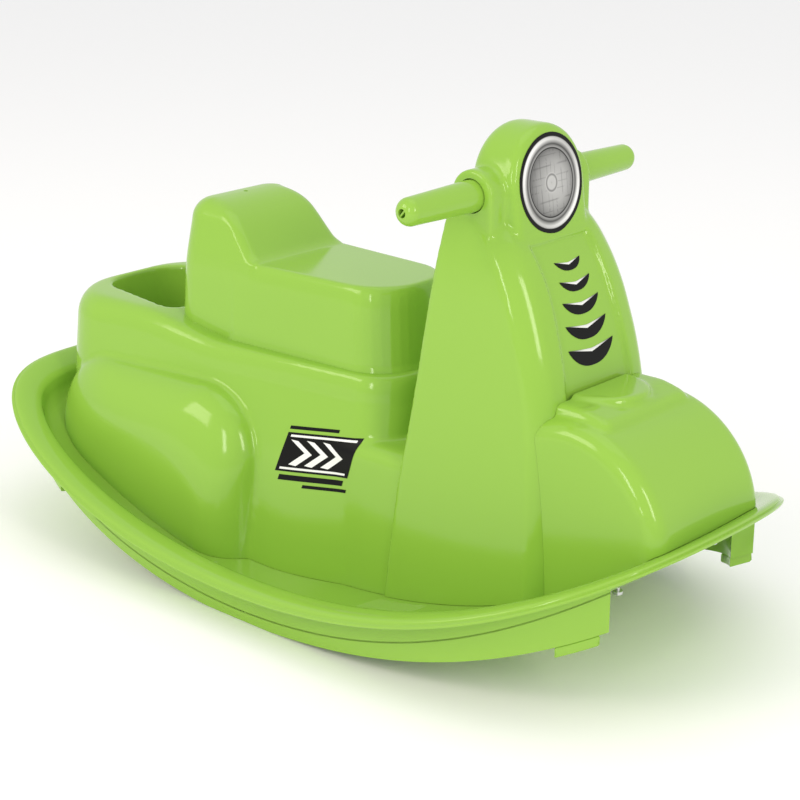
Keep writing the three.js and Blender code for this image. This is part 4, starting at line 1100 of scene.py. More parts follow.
@dataclass
class Seat:
    """The seat with its backrest, one moulding."""

    body: SeatBody
    top: float = 271.0
    edge: float = 6.0
    edge_height: float = 22.0
    sunk: float = 5.0
    flare: float = 1.5
    flare_height: float = 5.0
    cushion_rear: float = -150.0
    rear: float = -206.5
    front: float = 49.0
    foot_halves: tuple[float, float] = (61.0, 54.0)
    top_halves: tuple[float, float] = (60.4, 53.0)
    front_draft: float = 3.0
    front_round: float = 40.0
    bow: float = 4.0
    back_waist: float = 260.0
    back_top: float = 318.0
    back_top_rear: float = -194.5
    back_foot_halves: tuple[float, float] = (62.6, 59.4)
    back_top_halves: tuple[float, float] = (55.0, 52.0)
    back_rear_round: float = 24.0
    back_front_round: float = 11.0
    back_front_closing: float = 0.3
    back_edge: float = 17.0
    # height, front
    back_front: tuple[tuple[float, float], ...] = (
        (190, -97),
        (270.9, -97),
        (272, -101.5),
        (274, -105.5),
        (277, -109),
        (281, -112.5),
        (287, -117.5),
        (293, -122.5),
        (299, -128),
        (304, -133.5),
        (308, -139),
        (312, -146),
        (315, -153.5),
        (317, -161.5),
        (318, -170),
    )
    gap: float = 0.6
    cutter_ends: tuple[float, float] = (200.0, -400.0)
    cutter_half: float = 150.0
    gate: Place = (-170.0, 0.0, 318.0)
    gate_radius: float = 2.0
    gate_depth: float = 1.4
    grain: float = 1.6
    rounds: int = 2

    def cushion(self) -> list[Ring]:
        """The rings of the seat without its backrest.

        Returns:
            The rings.
        """
        foot, deck = self.body.deck[1] - self.sunk, self.body.deck[1]

        def ring(z: float, share: float, shrink: float) -> Ring:
            """One level of the seat.

            Args:
                z: its height.
                share: the share of its height up to the shoulder.
                shrink: how far it is drawn in.

            Returns:
                The ring.
            """
            flare = self.flare * (1 - ease(z, deck, deck + self.flare_height))
            plan = BlockPlan(
                rear=self.cushion_rear,
                front=self.front - self.front_draft * share - shrink + flare,
                rear_half=mix(self.foot_halves[0], self.top_halves[0], share) - shrink + flare,
                front_half=mix(self.foot_halves[1], self.top_halves[1], share) - shrink + flare,
                rear_round=self.back_rear_round,
                front_round=self.front_round,
                bow=self.bow,
            )
            return plan.ring(lambda x: z)

        shoulder = self.top - self.edge_height
        rings = [ring(mix(foot, shoulder, share), share, 0.0) for share in spread(0.0, 1.0, 12)]
        for inward, upward in quarter(12):
            rings.append(ring(shoulder + self.edge_height * upward, 1.0, self.edge * inward))
        return rings

    def backrest(self) -> list[Ring]:
        """The rings of the backrest.

        Returns:
            The rings.
        """
        foot, shoulder = self.body.deck[1] - self.sunk, self.back_top - self.back_edge
        (rear_foot, front_foot), (rear_top, front_top) = self.back_foot_halves, self.back_top_halves

        def ring(z: float) -> Ring:
            """One level of the backrest.

            Args:
                z: its height.

            Returns:
                The ring.
            """
            rounding = max(0.0, (z - shoulder) / self.back_edge)
            shrink = self.back_edge * (1 - math.sqrt(1 - rounding**2))
            lean = (z - foot) / (self.back_top - foot)
            taper = ease(z, self.top - self.edge_height, self.back_top)
            plan = BlockPlan(
                rear=mix(self.rear, self.back_top_rear, lean) + shrink,
                front=through(self.back_front, z)[0],
                rear_half=mix(rear_foot, rear_top, taper) - shrink,
                front_half=mix(front_foot, front_top, taper) - shrink,
                rear_round=self.back_rear_round - shrink,
                front_round=self.back_front_round - shrink * self.back_front_closing,
            )
            return plan.ring(lambda x: z)

        sweep = [height for height, _ in self.back_front[1:8]]
        heights = [foot, mix(foot, self.top, 0.5), self.top - self.edge_height, self.back_waist, *sweep]
        heights += spread(sweep[-1], shoulder, 3)[1:]
        heights += [shoulder + self.back_edge * upward for _, upward in quarter(10)]
        return [ring(z) for z in heights]

    def below(self) -> Mesh:
        """Everything under the seat's foot.

        Returns:
            The solid that is cut out.
        """

        def ring(height_at: Curve) -> Ring:
            """The block's outline at some height."""
            left = [(x, self.cutter_half, height_at(x)) for x in spread(*self.cutter_ends, 40)]
            return left + [(x, -y, z) for x, y, z in reversed(left)]

        return lofted(Loft([ring(lambda x: 0.0), ring(raised(self.body.deck_height, -self.gap))]))

    def gate_mark(self) -> Mesh:
        """The small round mark of the mould's gate on the backrest, as a cutter.

        Returns:
            The solid that is cut out.
        """
        work = cylinder(self.gate_radius, 2 * self.gate_depth, 24)
        bmesh.ops.translate(work, verts=work.verts, vec=Vector(self.gate) * MM)
        return work

    def build(self) -> list[bpy.types.Object]:
        """Builds and dresses the seat.

        Returns:
            Its pieces.
        """
        solid = melted(lofted(Loft(self.cushion()), Loft(self.backrest())), self.grain, self.rounds)
        solid = cut(cut(solid, self.below()), self.gate_mark())
        return [shown("seat_skin", solid, "seat_with_backrest")]


# Leg shield


@dataclass
class LegShield:
    """The leg shield with its sunk front panel, the head and the grips' collars."""

    base: RockerBase
    # height, rear, front, half
    levels: tuple[tuple[float, ...], ...] = (
        (0, 76, 245, 87),
        (113, 87.5, 243, 81),
        (173, 97.5, 239.5, 77.5),
        (219, 104.8, 233.5, 75),
        (247, 109.2, 227.5, 74),
        (270, 112.8, 220.5, 73),
        (290, 116, 213.5, 72),
        (308, 118.8, 205.5, 70.5),
        (323, 121.2, 197, 69),
        (333, 122.8, 190.5, 67.5),
        (337, 123.4, 187.2, 67),
        (343, 124.3, 180.8, 66),
        (350, 125.5, 173.5, 65),
    )
    crown_heights: tuple[float, float] = (328.0, 339.0)
    top_edge: float = 3.0
    front_round: float = 17.0
    rear_round: float = 3.0
    crown: float = 3.0
    crown_power: float = 4.0
    panel_depths: tuple[float, float] = (4.5, 6.5)
    panel_draft: float = 0.7
    panel_halves: tuple[float, float] = (43.0, 35.0)
    panel_heights: tuple[float, float] = (173.0, 334.5)
    panel_foot: float = 100.0
    panel_deepening: float = 30.0
    panel_reach: float = 40.0
    corner_flatness: float = 0.55
    head_centre: float = 377.0
    head_radius: float = 46.0
    head_foot: float = 322.0
    head_rear: float = 129.5
    head_face: float = 181.0
    head_rear_round: float = 18.0
    head_face_round: float = 7.0
    face_tilt: float = 7.0
    bar: tuple[float, float] = (152.0, 372.5)
    bore_radius: float = 13.8
    bore_length: float = 30.0
    collar_root: float = 20.0
    collar_radius: float = 20.5
    collar_reach: float = 64.0
    collar_foot: float = 331.0
    collar_edge: float = 2.0
    grain: float = 1.7
    rounds: int = 4

    def _ring(self, row: Sequence[float], inset: float, height: float) -> Ring:
        """One level of the shield.

        Args:
            row: its rear, front and half width.
            inset: how far it is set in, or out where negative.
            height: its height.

        Returns:
            The ring.
        """
        rear, front, half = row[0] + inset, row[1] - inset, row[2] - inset
        corner = self.front_round - inset
        flat = half - corner
        crown = self.crown * (1 - ease(height, *self.crown_heights))
        shares = spread(0.0, 1.0, 16)
        left = [(front + crown * (1 - share**self.crown_power), flat * share) for share in shares]
        steps = 12
        for step, (inward, outward) in enumerate(quarter(steps), 1):
            chamfer = corner * step / steps
            back = mix(corner * inward, chamfer, self.corner_flatness)
            left.append((front - back, flat + mix(corner * outward, chamfer, self.corner_flatness)))
        left += [(x, half) for x in spread(front - corner, rear + self.rear_round, 16)[1:]]
        for inward, back in quarter(4):
            left.append((rear + self.rear_round * (1 - back), half - self.rear_round * inward))
        left += [(rear, across) for across in spread(half - self.rear_round, 0.0, 8)[1:]]
        return [(x, y, height) for x, y in mirrored(left)]

    def wall_rings(self, outset: float) -> list[Ring]:
        """The rings of the shield, set out by a clearance.

        Args:
            outset: the clearance.

        Returns:
            The rings.
        """
        top = self.levels[-1]
        rings = [self._ring(through(self.levels, z), -outset, z) for z in spread(0.0, top[0], 60)]
        for inward, upward in quarter(5):
            height = top[0] + self.top_edge * upward
            rings.append(self._ring(top[1:], self.top_edge * inward - outset, height))
        return rings

    def panel(self) -> list[Ring]:
        """The rings of the sunk panel's hollow.

        Returns:
            The rings.
        """
        low, high = self.panel_heights
        rings = []
        for height in spread(self.panel_foot, high, 40):
            half = mix(*self.panel_halves, ease(height, low, high))
            depth = mix(*self.panel_depths, ease(height, high - self.panel_deepening, high))
            inner = through(self.levels, height)[1] + self.crown - depth
            outer, wide = inner + self.panel_reach, half + self.panel_reach * self.panel_draft
            near = [(inner, y, height) for y in spread(-half, half, 16)]
            rings.append(near + [(outer, y, height) for y in spread(wide, -wide, 16)])
        return rings

    def head(self) -> list[Ring]:
        """The rings of the head, an arch carried from its round rear to its flat, tilted face.

        Returns:
            The rings.
        """
        lean = math.tan(math.radians(self.face_tilt))
        foot, centre = self.head_foot, self.head_centre
        waist = mix(foot, centre, 0.5)

        def ring(x: float, shrink: float, leaning: float) -> Ring:
            """One slice of the head.

            Args:
                x: where it stands.
                shrink: how far it is drawn in.
                leaning: the share of the face's tilt that it has.

            Returns:
                The ring.
            """
            radius = self.head_radius - shrink
            arch = [(0.0, foot), (radius / 2, foot), (radius, foot), (radius, waist)]
            arch += [(across, centre + up) for across, up in half_circle(radius, 48)]
            arch += [(-radius, waist), (-radius, foot), (-radius / 2, foot)]
            return [(x - leaning * lean * (z - centre), y, z) for y, z in arch]

        back, face = self.head_rear_round, self.head_face_round
        start, end = self.head_rear + back, self.head_face - face
        rings = [ring(start - back * out, back * inward, 0.0) for inward, out in reversed(quarter(14))]
        rings += [ring(mix(start, end, share), 0.0, share) for share in spread(0.0, 1.0, 6)]
        return rings + [ring(end + face * out, face * inward, 1.0) for inward, out in quarter(6)]

    def collar(self, side: Side) -> list[Ring]:
        """The rings of a grip's collar.

        Args:
            side: which side.

        Returns:
            The rings.
        """

        def ring(across: float, shrink: float) -> Ring:
            """One slice of the collar.

            Args:
                across: how far out it lies.
                shrink: how far it is drawn in.

            Returns:
                The ring.
            """
            radius = self.collar_radius - shrink
            arch = [(radius, self.collar_foot)]
            arch += [(along, self.bar[1] + up) for along, up in half_circle(radius, 32)]
            arch += [(-radius, self.collar_foot), (0.0, self.collar_foot)]
            return [(self.bar[0] + x, side.value * across, z) for x, z in arch]

        edge = self.collar_edge
        end = self.collar_reach - edge
        rings = [ring(across, 0.0) for across in spread(self.collar_root, end, 2)]
        return rings + [ring(end + edge * out, edge * inward) for inward, out in quarter(4)]

    def bore(self, side: Side) -> Mesh:
        """The hole of a grip, as the solid that is cut out.

        Args:
            side: which side.

        Returns:
            The solid.
        """
        work = cylinder(self.bore_radius, self.bore_length, 64)
        bmesh.ops.rotate(work, verts=work.verts, matrix=Matrix.Rotation(math.pi / 2, 3, "X"))
        place = Vector((self.bar[0], side.value * self.collar_reach, self.bar[1])) * MM
        bmesh.ops.translate(work, verts=work.verts, vec=place)
        return work

    def build(self) -> list[bpy.types.Object]:
        """Builds and dresses the leg shield.

        Returns:
            Its pieces.
        """
        collars = [Loft(self.collar(side), Axis.X) for side in Side]
        solid = melted(lofted(Loft(self.wall_rings(0.0)), Loft(self.head()), *collars), self.grain, 1)
        solid = cut(solid, lofted(Loft(self.panel())))
        solid = melted(solid, self.grain, self.rounds)
        for cutter in (*(self.bore(side) for side in Side), self.base.below(CLEARANCE)):
            solid = cut(solid, cutter)
        return [shown("leg_shield_skin", solid, "leg_shield")]


# Mudguard


@dataclass
class Mudguard:
    """The mudguard with its raised plate and half-round pad."""

    base: RockerBase
    shield: LegShield
    centre: tuple[float, float] = (254.5, 118.0)
    radius: float = 93.0
    half: float = 73.0
    edge: float = 15.0
    rear: float = 221.0
    foot: float = 40.0
    plate_half: float = 57.0
    plate_front: float = 284.0
    plate_top: float = 219.0
    plate_nose: float = 214.0
    plate_round: float = 8.0
    plate_edge: float = 7.0
    plate_sunk: float = 20.0
    pad_half: float = 38.0
    pad_reach: float = 47.0
    pad_centre: float = 230.0
    pad_rise: float = 3.5
    pad_edge: float = 2.5
    grain: float = 1.8
    rounds: int = 8

    def arch(self) -> list[Ring]:
        """The rings of the arch, from the right side to the left.

        Returns:
            The rings.
        """
        centre_x, centre_z = self.centre

        def ring(across: float, shrink: float) -> Ring:
            """One slice of the arch.

            Args:
                across: how far out it lies.
                shrink: how far it is drawn in.

            Returns:
                The ring.
            """
            radius = self.radius - shrink
            end = math.acos((self.rear - centre_x) / radius)
            places = [(radius * math.cos(turn), radius * math.sin(turn)) for turn in spread(0.0, end, 48)]
            outline = [(centre_x + x, centre_z + z) for x, z in places]
            outline += [(self.rear, z) for z in spread(centre_z + self.radius, self.foot, 4)[1:]]
            outline += [(x, self.foot) for x in spread(self.rear, centre_x + radius, 4)[1:]]
            return [(x, across, z) for x, z in outline]

        straight = self.half - self.edge
        corner = [(straight + self.edge * outward, self.edge * inward) for inward, outward in quarter(12)]
        rings = [ring(-across, shrink) for across, shrink in reversed(corner)]
        rings += [ring(across, 0.0) for across in spread(-straight, straight, 6)]
        return rings + [ring(across, shrink) for across, shrink in corner]

    def plate(self) -> list[Ring]:
        """The rings of the raised plate.

        Returns:
            The rings.
        """
        drop = self.plate_top - self.plate_nose
        slope = (self.centre[0], self.plate_front)

        def ring(shrink: float, sunk: float) -> Ring:
            """One level of the plate.

            Args:
                shrink: how far it is drawn in.
                sunk: how far under the plate's top it lies.

            Returns:
                The ring.
            """
            plan = BlockPlan(
                rear=self.rear,
                front=self.plate_front - shrink,
                rear_half=self.plate_half - shrink,
                front_half=self.plate_half - shrink,
                rear_round=self.plate_round,
                front_round=self.plate_round,
            )
            return plan.ring(lambda x: self.plate_top - sunk - drop * ease(x, *slope))

        edge = [ring(self.plate_edge * inward, self.plate_edge * (1 - up)) for inward, up in quarter(8)]
        return [ring(0.0, self.plate_sunk), ring(0.0, self.plate_edge), *edge]

    def pad(self) -> list[Ring]:
        """The rings of the half-round pad.

        Returns:
            The rings.
        """

        def ring(shrink: float, z: float) -> Ring:
            """One level of the pad.

            Args:
                shrink: how far it is drawn in.
                z: its height.

            Returns:
                The ring.
            """
            reach, half = self.pad_reach - shrink, self.pad_half - shrink
            turns = spread(0.0, math.pi / 2, 24)
            left = [(self.pad_centre + reach * math.cos(turn), half * math.sin(turn)) for turn in turns]
            return [(x, y, z) for x, y in mirrored([*left, (self.rear, half), (self.rear, 0.0)])]

        edge = self.pad_edge
        shoulder = self.plate_top + self.pad_rise - edge
        rings = [ring(0.0, self.plate_top - self.plate_edge), ring(0.0, shoulder)]
        return rings + [ring(edge * inward, shoulder + edge * up) for inward, up in quarter(5)]

    def build(self) -> list[bpy.types.Object]:
        """Builds and dresses the mudguard.

        Returns:
            Its pieces.
        """
        solid = lofted(Loft(self.plate()), Loft(self.pad()), Loft(self.arch(), Axis.Z))
        solid = melted(solid, self.grain, self.rounds)
        solid = cut(solid, lofted(Loft(self.shield.wall_rings(CLEARANCE))))
        solid = cut(solid, self.base.below(CLEARANCE))
        return [shown("mudguard_skin", solid, "mudguard")]


# Handles


@dataclass
class Handles:
    """The two grips on the cross tube."""

    shield: LegShield
    root: float = 40.0
    reach: float = 144.0
    root_radius: float = 13.0
    tip_radius: float = 11.2
    tip_round: float = 9.0
    hole_radius: float = 3.6
    hole_depth: float = 8.0
    web: float = 1.3
    web_turn: float = -50.0
    web_overlap: float = 0.3
    web_short: float = 1.0
    web_sunk: float = 0.4

    def profile(self) -> list[Flat]:
        """The grip's half section: radius, and place along it.

        Returns:
            Its places, from the root's middle to the hole's.
        """
        # The tip's round stops two steps short, where the hole's rim starts.
        tip = [
            (self.tip_radius - self.tip_round * inward, self.reach - self.tip_round * (1 - outward))
            for inward, outward in quarter(12)[:-2]
        ]
        bottom = self.reach - self.hole_depth
        root = [(0.0, self.root), (self.root_radius, self.root)]
        shoulder = self.reach - self.tip_round
        taper = [(self.root_radius, self.shield.collar_reach), (self.tip_radius, shoulder)]
        hole = [(self.hole_radius, self.reach), (self.hole_radius, bottom), (0.0, bottom)]
        return [*root, *taper, *tip, *hole]

    def grip(self, side: Side) -> Mesh:
        """One grip, spun round its axis, with a hole in its end and a web across the hole.

        Args:
            side: which side.

        Returns:
            The grip.
        """
        work = bmesh.new()
        verts = [work.verts.new((0.0, side.value * y * MM, r * MM)) for r, y in self.profile()]
        edges = [work.edges.new(pair) for pair in zip(verts, verts[1:])]
        turn = {"cent": (0, 0, 0), "axis": (0, 1, 0), "angle": 2 * math.pi, "steps": 48, "use_merge": True}
        bmesh.ops.spin(work, geom=verts + edges, **turn)
        bmesh.ops.remove_doubles(work, verts=work.verts, dist=MERGE)
        web = bmesh.ops.create_cube(work, size=1.0)["verts"]
        size = (2 * self.hole_radius + self.web_overlap, self.hole_depth - self.web_short, self.web)
        bmesh.ops.scale(work, verts=web, vec=Vector(size) * MM)
        bmesh.ops.rotate(work, verts=web, matrix=Matrix.Rotation(math.radians(self.web_turn), 3, "Y"))
        along = self.reach - self.hole_depth / 2 - self.web_sunk
        bmesh.ops.translate(work, verts=web, vec=Vector((0, side.value * along, 0)) * MM)
        bmesh.ops.recalc_face_normals(work, faces=work.faces)
        place = Vector((self.shield.bar[0], 0.0, self.shield.bar[1])) * MM
        bmesh.ops.translate(work, verts=work.verts, vec=place)
        return work

    def build(self) -> list[bpy.types.Object]:
        """Builds and dresses the grips.

        Returns:
            Its pieces.
        """
        names = {side: side.name.lower() for side in Side}
        return [shown(f"grip_{name}", self.grip(side), f"handle_{name}") for side, name in names.items()]


# Stickers


@dataclass
class Print:
    """Flat printed shapes laid on the skin of a piece.

    Attributes:
        skin: the piece that carries them.
        towards: the direction in which a flat place is carried to the skin.
        place_at: the place in millimetres, off the skin, of a flat place.
        face_size: about how long a face of a plain shape is, in millimetres.
        work: the mesh that gets them.
    """

    skin: bpy.types.Object
    towards: Place
    place_at: Callable[[float, float], Place]
    face_size: float = 2.0
    work: Mesh = field(default_factory=bmesh.new)

    def __post_init__(self) -> None:
        """Prepares the skin and the ink attribute."""
        self.tree = BVHTree.FromObject(self.skin, bpy.context.evaluated_depsgraph_get())
        self.ink = self.work.loops.layers.float_color.new(PRINTED_VINYL.ink)

    def on_skin(self, flat: Flat, lift: float) -> Vector:
        """A flat place on the skin.

        Args:
            flat: the place across and up.
            lift: how far off the skin, in millimetres.

        Returns:
            The place in metres.
        """
        start = Vector(self.place_at(*flat)) * MM
        hit, normal, _, _ = self.tree.ray_cast(start, Vector(self.towards))
        return hit + normal * lift * MM

    def sheet(self, flat_at: FlatAt, steps: tuple[int, int], ink_at: InkAt, lift: float) -> None:
        """Lays a printed sheet.

        Args:
            flat_at: the flat place at two shares.
            steps: its faces along each.
            ink_at: the grey at two shares, in linear light.
            lift: how far off the skin it lies, in millimetres.
        """
        columns, rows = (spread(0.0, 1.0, count) for count in steps)
        grid = [[self.work.verts.new(self.on_skin(flat_at(s, t), lift)) for t in rows] for s in columns]
        for i in range(steps[0]):
            for j in range(steps[1]):
                corners = [(i, j), (i + 1, j), (i + 1, j + 1), (i, j + 1)]
                face = self.work.faces.new([grid[a][b] for a, b in corners])
                for loop, (a, b) in zip(face.loops, corners):
                    grey = ink_at(columns[a], rows[b])
                    loop[self.ink] = (grey, grey, grey, 1.0)

    def quad(self, corners: Sequence[Flat], grey: float, lift: float) -> None:
        """Lays a four-cornered shape of one grey.

        Args:
            corners: its flat corners in order.
            grey: its grey in linear light.
            lift: how far off the skin it lies, in millimetres.
        """
        a, b, c, d = (Vector(corner) for corner in corners)
        steps = tuple(max(2, int(edge.length / self.face_size)) for edge in (b - a, d - a))
        self.sheet(lambda s, t: tuple(a.lerp(b, s).lerp(d.lerp(c, s), t)), steps, lambda s, t: grey, lift)

    def finished(self, name: str, slot: str, node: str) -> bpy.types.Object:
        """The print as a piece.

        Args:
            name: the piece's name.
            slot: its material slot; not used.
            node: the CAD node that it stands for.

        Returns:
            The piece.
        """
        bmesh.ops.remove_doubles(self.work, verts=self.work.verts, dist=FILM_MERGE)
        outward = -Vector(self.towards)
        for face in self.work.faces:
            face.normal_update()
        turned = [face for face in self.work.faces if face.normal.dot(outward) < 0]
        bmesh.ops.reverse_faces(self.work, faces=turned)
        return shown(name, self.work, node, PRINTED_VINYL)


@dataclass(frozen=True)
class LensLines:
    """Fine wavy lines across a lamp's lens, faded here and there.

    Attributes:
        count: how close they stand, in radians over the lens's radius.
        sway: how far they wave, in radians.
        waves: how often they wave, in radians over the radius.
        lean: how much they lean.
        fading: how often they fade, beside and along their own direction.
        depth: how dark they are at most.
        crest: the part of each wave's height that darkens.
        gaps: the part of the slow wave's height over which a line fades in.
    """

    count: float
    sway: float
    waves: float
    lean: float
    fading: Flat
    depth: float = 0.3
    crest: Flat = (0.9, 1.0)
    gaps: Flat = (-1.0, -0.3)

    def shade(self, along: float, beside: float) -> float:
        """The share of the grey that the lines leave at a place.

        Args:
            along: the place across the lines, as a share of the radius.
            beside: the place along them.

        Returns:
            A share from 0 to 1.
        """
        line = math.cos(self.count * along + self.sway * math.sin(self.waves * along) + self.lean * beside)
        faded = math.sin(self.fading[0] * beside + self.fading[1] * along)
        return 1 - self.depth * ease(line, *self.crest) * ease(faded, *self.gaps)


@dataclass
class Stickers:
    """The printed films: the headlight, five vents and two side badges."""

    shield: LegShield
    shield_skin: str = "leg_shield_skin"
    body_skin: str = "seat_body_skin"
    lift: float = 0.3
    overprint: float = 0.08
    black: float = 0.008
    white: float = 0.86
    from_front: float = 400.0
    from_side: float = 200.0
    lamp_radius: float = 39.7
    lamp_hub: float = 0.002
    # round it, from its middle out
    lamp_faces: tuple[int, int] = (144, 120)
    # share of the radius, grey
    lamp_rings: tuple[Flat, ...] = (
        (0.0, 0.42),
        (0.03, 0.50),
        (0.13, 0.52),
        (0.155, 0.24),
        (0.17, 0.24),
        (0.20, 0.54),
        (0.45, 0.44),
        (0.62, 0.29),
        (0.665, 0.22),
        (0.68, 0.02),
        (0.695, 0.02),
        (0.71, 0.34),
        (0.75, 0.16),
        (0.765, 0.09),
        (0.80, 0.40),
        (0.86, 0.95),
        (0.905, 0.80),
        (0.92, 0.01),
        (1.0, 0.01),
    )
    lens: tuple[float, float] = (0.2, 0.66)
    # share of the grey in its middle, gained to the rider's left, gained upwards
    lens_light: Place = (0.84, 0.3, -0.1)
    upright_lines: LensLines = LensLines(40.0, 1.4, 11.0, 0.5, (9.0, 5.0))
    level_lines: LensLines = LensLines(36.0, 1.6, 9.0, -0.6, (8.0, -7.0))
    chrome: tuple[float, float] = (0.765, 0.92)
    # share of the grey between its bright arcs and the dark ones, its swing, the arcs' turn
    chrome_light: Place = (0.78, 0.22, 0.6)
    # half width, top, notch depth, bottom depth
    vents: tuple[tuple[float, ...], ...] = (
        (16.6, 317.6, 3.8, 7.8),
        (19.6, 303.9, 5.0, 9.6),
        (23.4, 288.6, 5.4, 11.9),
        (26.4, 271.4, 5.9, 13.8),
        (29.4, 253.3, 6.0, 16.4),
    )
    # across, up the black part, up the bright part
    vent_faces: tuple[int, int, int] = (40, 6, 3)
    notch_share: float = 0.55
    notch_power: float = 1.3
    crescent_powers: tuple[float, float] = (2.4, 0.8)
    shine_greys: tuple[float, float] = (0.9, 0.05)
    shine_fading: tuple[float, float] = (0.25, 0.95)
    shine_top: float = 0.75
    badge_rise: float = 0.12
    badge_lean: float = 0.28
    badge_centre: float = 120.0
    # rear, front, low, high
    badge_blacks: tuple[tuple[float, ...], ...] = (
        (-44, 34, 106, 142),
        (-38, 30, 98, 103),
        (-10, 36, 92, 95),
        (-44, 8, 145, 148),
    )
    badge_whites: tuple[tuple[float, ...], ...] = ((-40, 30, 138, 140), (-40, 30, 108, 110))
    chevrons: tuple[float, ...] = (-34.0, -17.0, 0.0)
    chevron_heights: Place = (113.0, 124.0, 135.0)
    chevron_reach: float = 16.0
    chevron_width: float = 8.0

    def lamp_grey(self, share: float, turn: float) -> float:
        """The headlight's grey.

        Args:
            share: the share of its radius.
            turn: the angle round it, from the rider's left up.

        Returns:
            The grey in linear light.
        """
        index = next(i for i in range(len(self.lamp_rings) - 1) if self.lamp_rings[i + 1][0] >= share)
        (low, here), (high, there) = self.lamp_rings[index], self.lamp_rings[index + 1]
        grey = mix(here, there, (share - low) / (high - low))
        across, up = share * math.cos(turn), share * math.sin(turn)
        if self.lens[0] < share < self.lens[1]:
            grey *= self.upright_lines.shade(across, up) * self.level_lines.shade(up, across)
            # The lens is lighter towards the rider's left and darker towards its top.
            middle, leftward, upward = self.lens_light
            grey *= middle + leftward * across + upward * up
        elif self.chrome[0] < share < self.chrome[1]:
            # Two bright arcs face each other on the chrome ring.
            middle, swing, ahead = self.chrome_light
            grey *= middle + swing * math.cos(2 * (turn + ahead))
        return grey

    def _on_shield(self, centre: float = 0.0) -> Print:
        """A print that is laid on the leg shield from the front, with its heights over a centre."""
        skin = bpy.data.objects[self.shield_skin]
        return Print(skin, (-1.0, 0.0, 0.0), lambda across, up: (self.from_front, across, centre + up))

    def headlight(self) -> bpy.types.Object:
        """The headlight's film.

        Returns:
            The piece.
        """
        flattening = math.cos(math.radians(self.shield.face_tilt))
        lamp = self._on_shield(self.shield.head_centre)

        def flat_at(turned: float, share: float) -> Flat:
            """The flat place at a share of a turn and of the radius."""
            reach, angle = self.lamp_radius * max(share, self.lamp_hub), 2 * math.pi * turned
            return reach * math.cos(angle), reach * math.sin(angle) * flattening

        def ink_at(turned: float, share: float) -> float:
            """The grey at a share of a turn and of the radius."""
            return self.lamp_grey(share, 2 * math.pi * turned)

        lamp.sheet(flat_at, self.lamp_faces, ink_at, self.lift)
        return lamp.finished("headlight_film", "silver_film", "headlight_sticker")

    def vent(self, number: int, row: Sequence[float]) -> bpy.types.Object:
        """One vent: a black crescent under a bright notched edge.

        Args:
            number: its number, from the top.
            row: its half width, top, notch depth and bottom depth.

        Returns:
            The piece.
        """
        half, top, notch, depth = row
        film = self._on_shield()

        def upper(share: float) -> float:
            """The upper edge, notched in the middle."""
            return top - self.notch_share * notch * (1 - abs(share) ** self.notch_power)

        def lower(share: float) -> float:
            """The lower edge, round."""
            inner, outer = self.crescent_powers
            return top - depth * (1 - abs(share) ** inner) ** outer

        def bright(share: float) -> float:
            """The lower limit of the bright edge."""
            return min(upper(share), top - notch * (1 - abs(share)))

        def area(low: Curve, high: Curve) -> FlatAt:
            """The flat place between two edges."""
            return lambda s, t: (half * (2 * s - 1), mix(low(2 * s - 1), high(2 * s - 1), t))

        def shine(s: float, t: float) -> float:
            """The bright edge's grey, which fades to both ends."""
            fading = ease(abs(2 * s - 1), *self.shine_fading)
            return mix(*self.shine_greys, fading) * mix(1.0, self.shine_top, t)

        across, black_rows, bright_rows = self.vent_faces
        film.sheet(area(lower, bright), (across, black_rows), lambda s, t: self.black, self.lift)
        film.sheet(area(bright, upper), (across, bright_rows), shine, self.lift)
        return film.finished(f"vent_film_{number}", "black_film", f"vent_sticker_{number}")

    def bar(self, rear: float, front: float, low: float, high: float) -> list[Flat]:
        """A bar of the badge that leans forward, its edges rising to the front."""
        corners = ((rear, low), (front, low), (front, high), (rear, high))
        return [(x + self.badge_lean * (z - self.badge_centre), z + self.badge_rise * x) for x, z in corners]

    def chevron(self, rear: float) -> list[list[Flat]]:
        """The two halves of a chevron of the badge, which points forward.

        Args:
            rear: where it starts.

        Returns:
            The four corners of each half.
        """
        tip = rear + self.chevron_reach
        bottom, point, top = (
            [(x, z + self.badge_rise * x), (x + self.chevron_width, z + self.badge_rise * x)]
            for x, z in zip((rear, tip, rear), self.chevron_heights)
        )
        return [[*bottom, *reversed(point)], [*point, *reversed(top)]]

    def badge(self, side: Side) -> bpy.types.Object:
        """A side badge: a slanted black field with three white chevrons between bars.

        Args:
            side: which side.

        Returns:
            The piece.
        """
        skin = bpy.data.objects[self.body_skin]
        off = side.value * self.from_side
        film = Print(skin, (0.0, -side.value, 0.0), lambda along, up: (along, off, up))
        for row in self.badge_blacks:
            film.quad(self.bar(*row), self.black, self.lift)
        whites = [self.bar(*row) for row in self.badge_whites]
        for rear in self.chevrons:
            whites += self.chevron(rear)
        for corners in whites:
            film.quad(corners, self.white, self.lift + self.overprint)
        name = side.name.lower()
        return film.finished(f"side_badge_{name}", "black_film", f"side_sticker_{name}")

    def build(self) -> list[bpy.types.Object]:
        """Builds and dresses the stickers.

        Returns:
            Its pieces.
        """
        bpy.context.view_layer.update()
        pieces = [self.headlight()]
        pieces += [self.vent(number, row) for number, row in enumerate(self.vents, 1)]
        return pieces + [self.badge(side) for side in Side]


# Studio


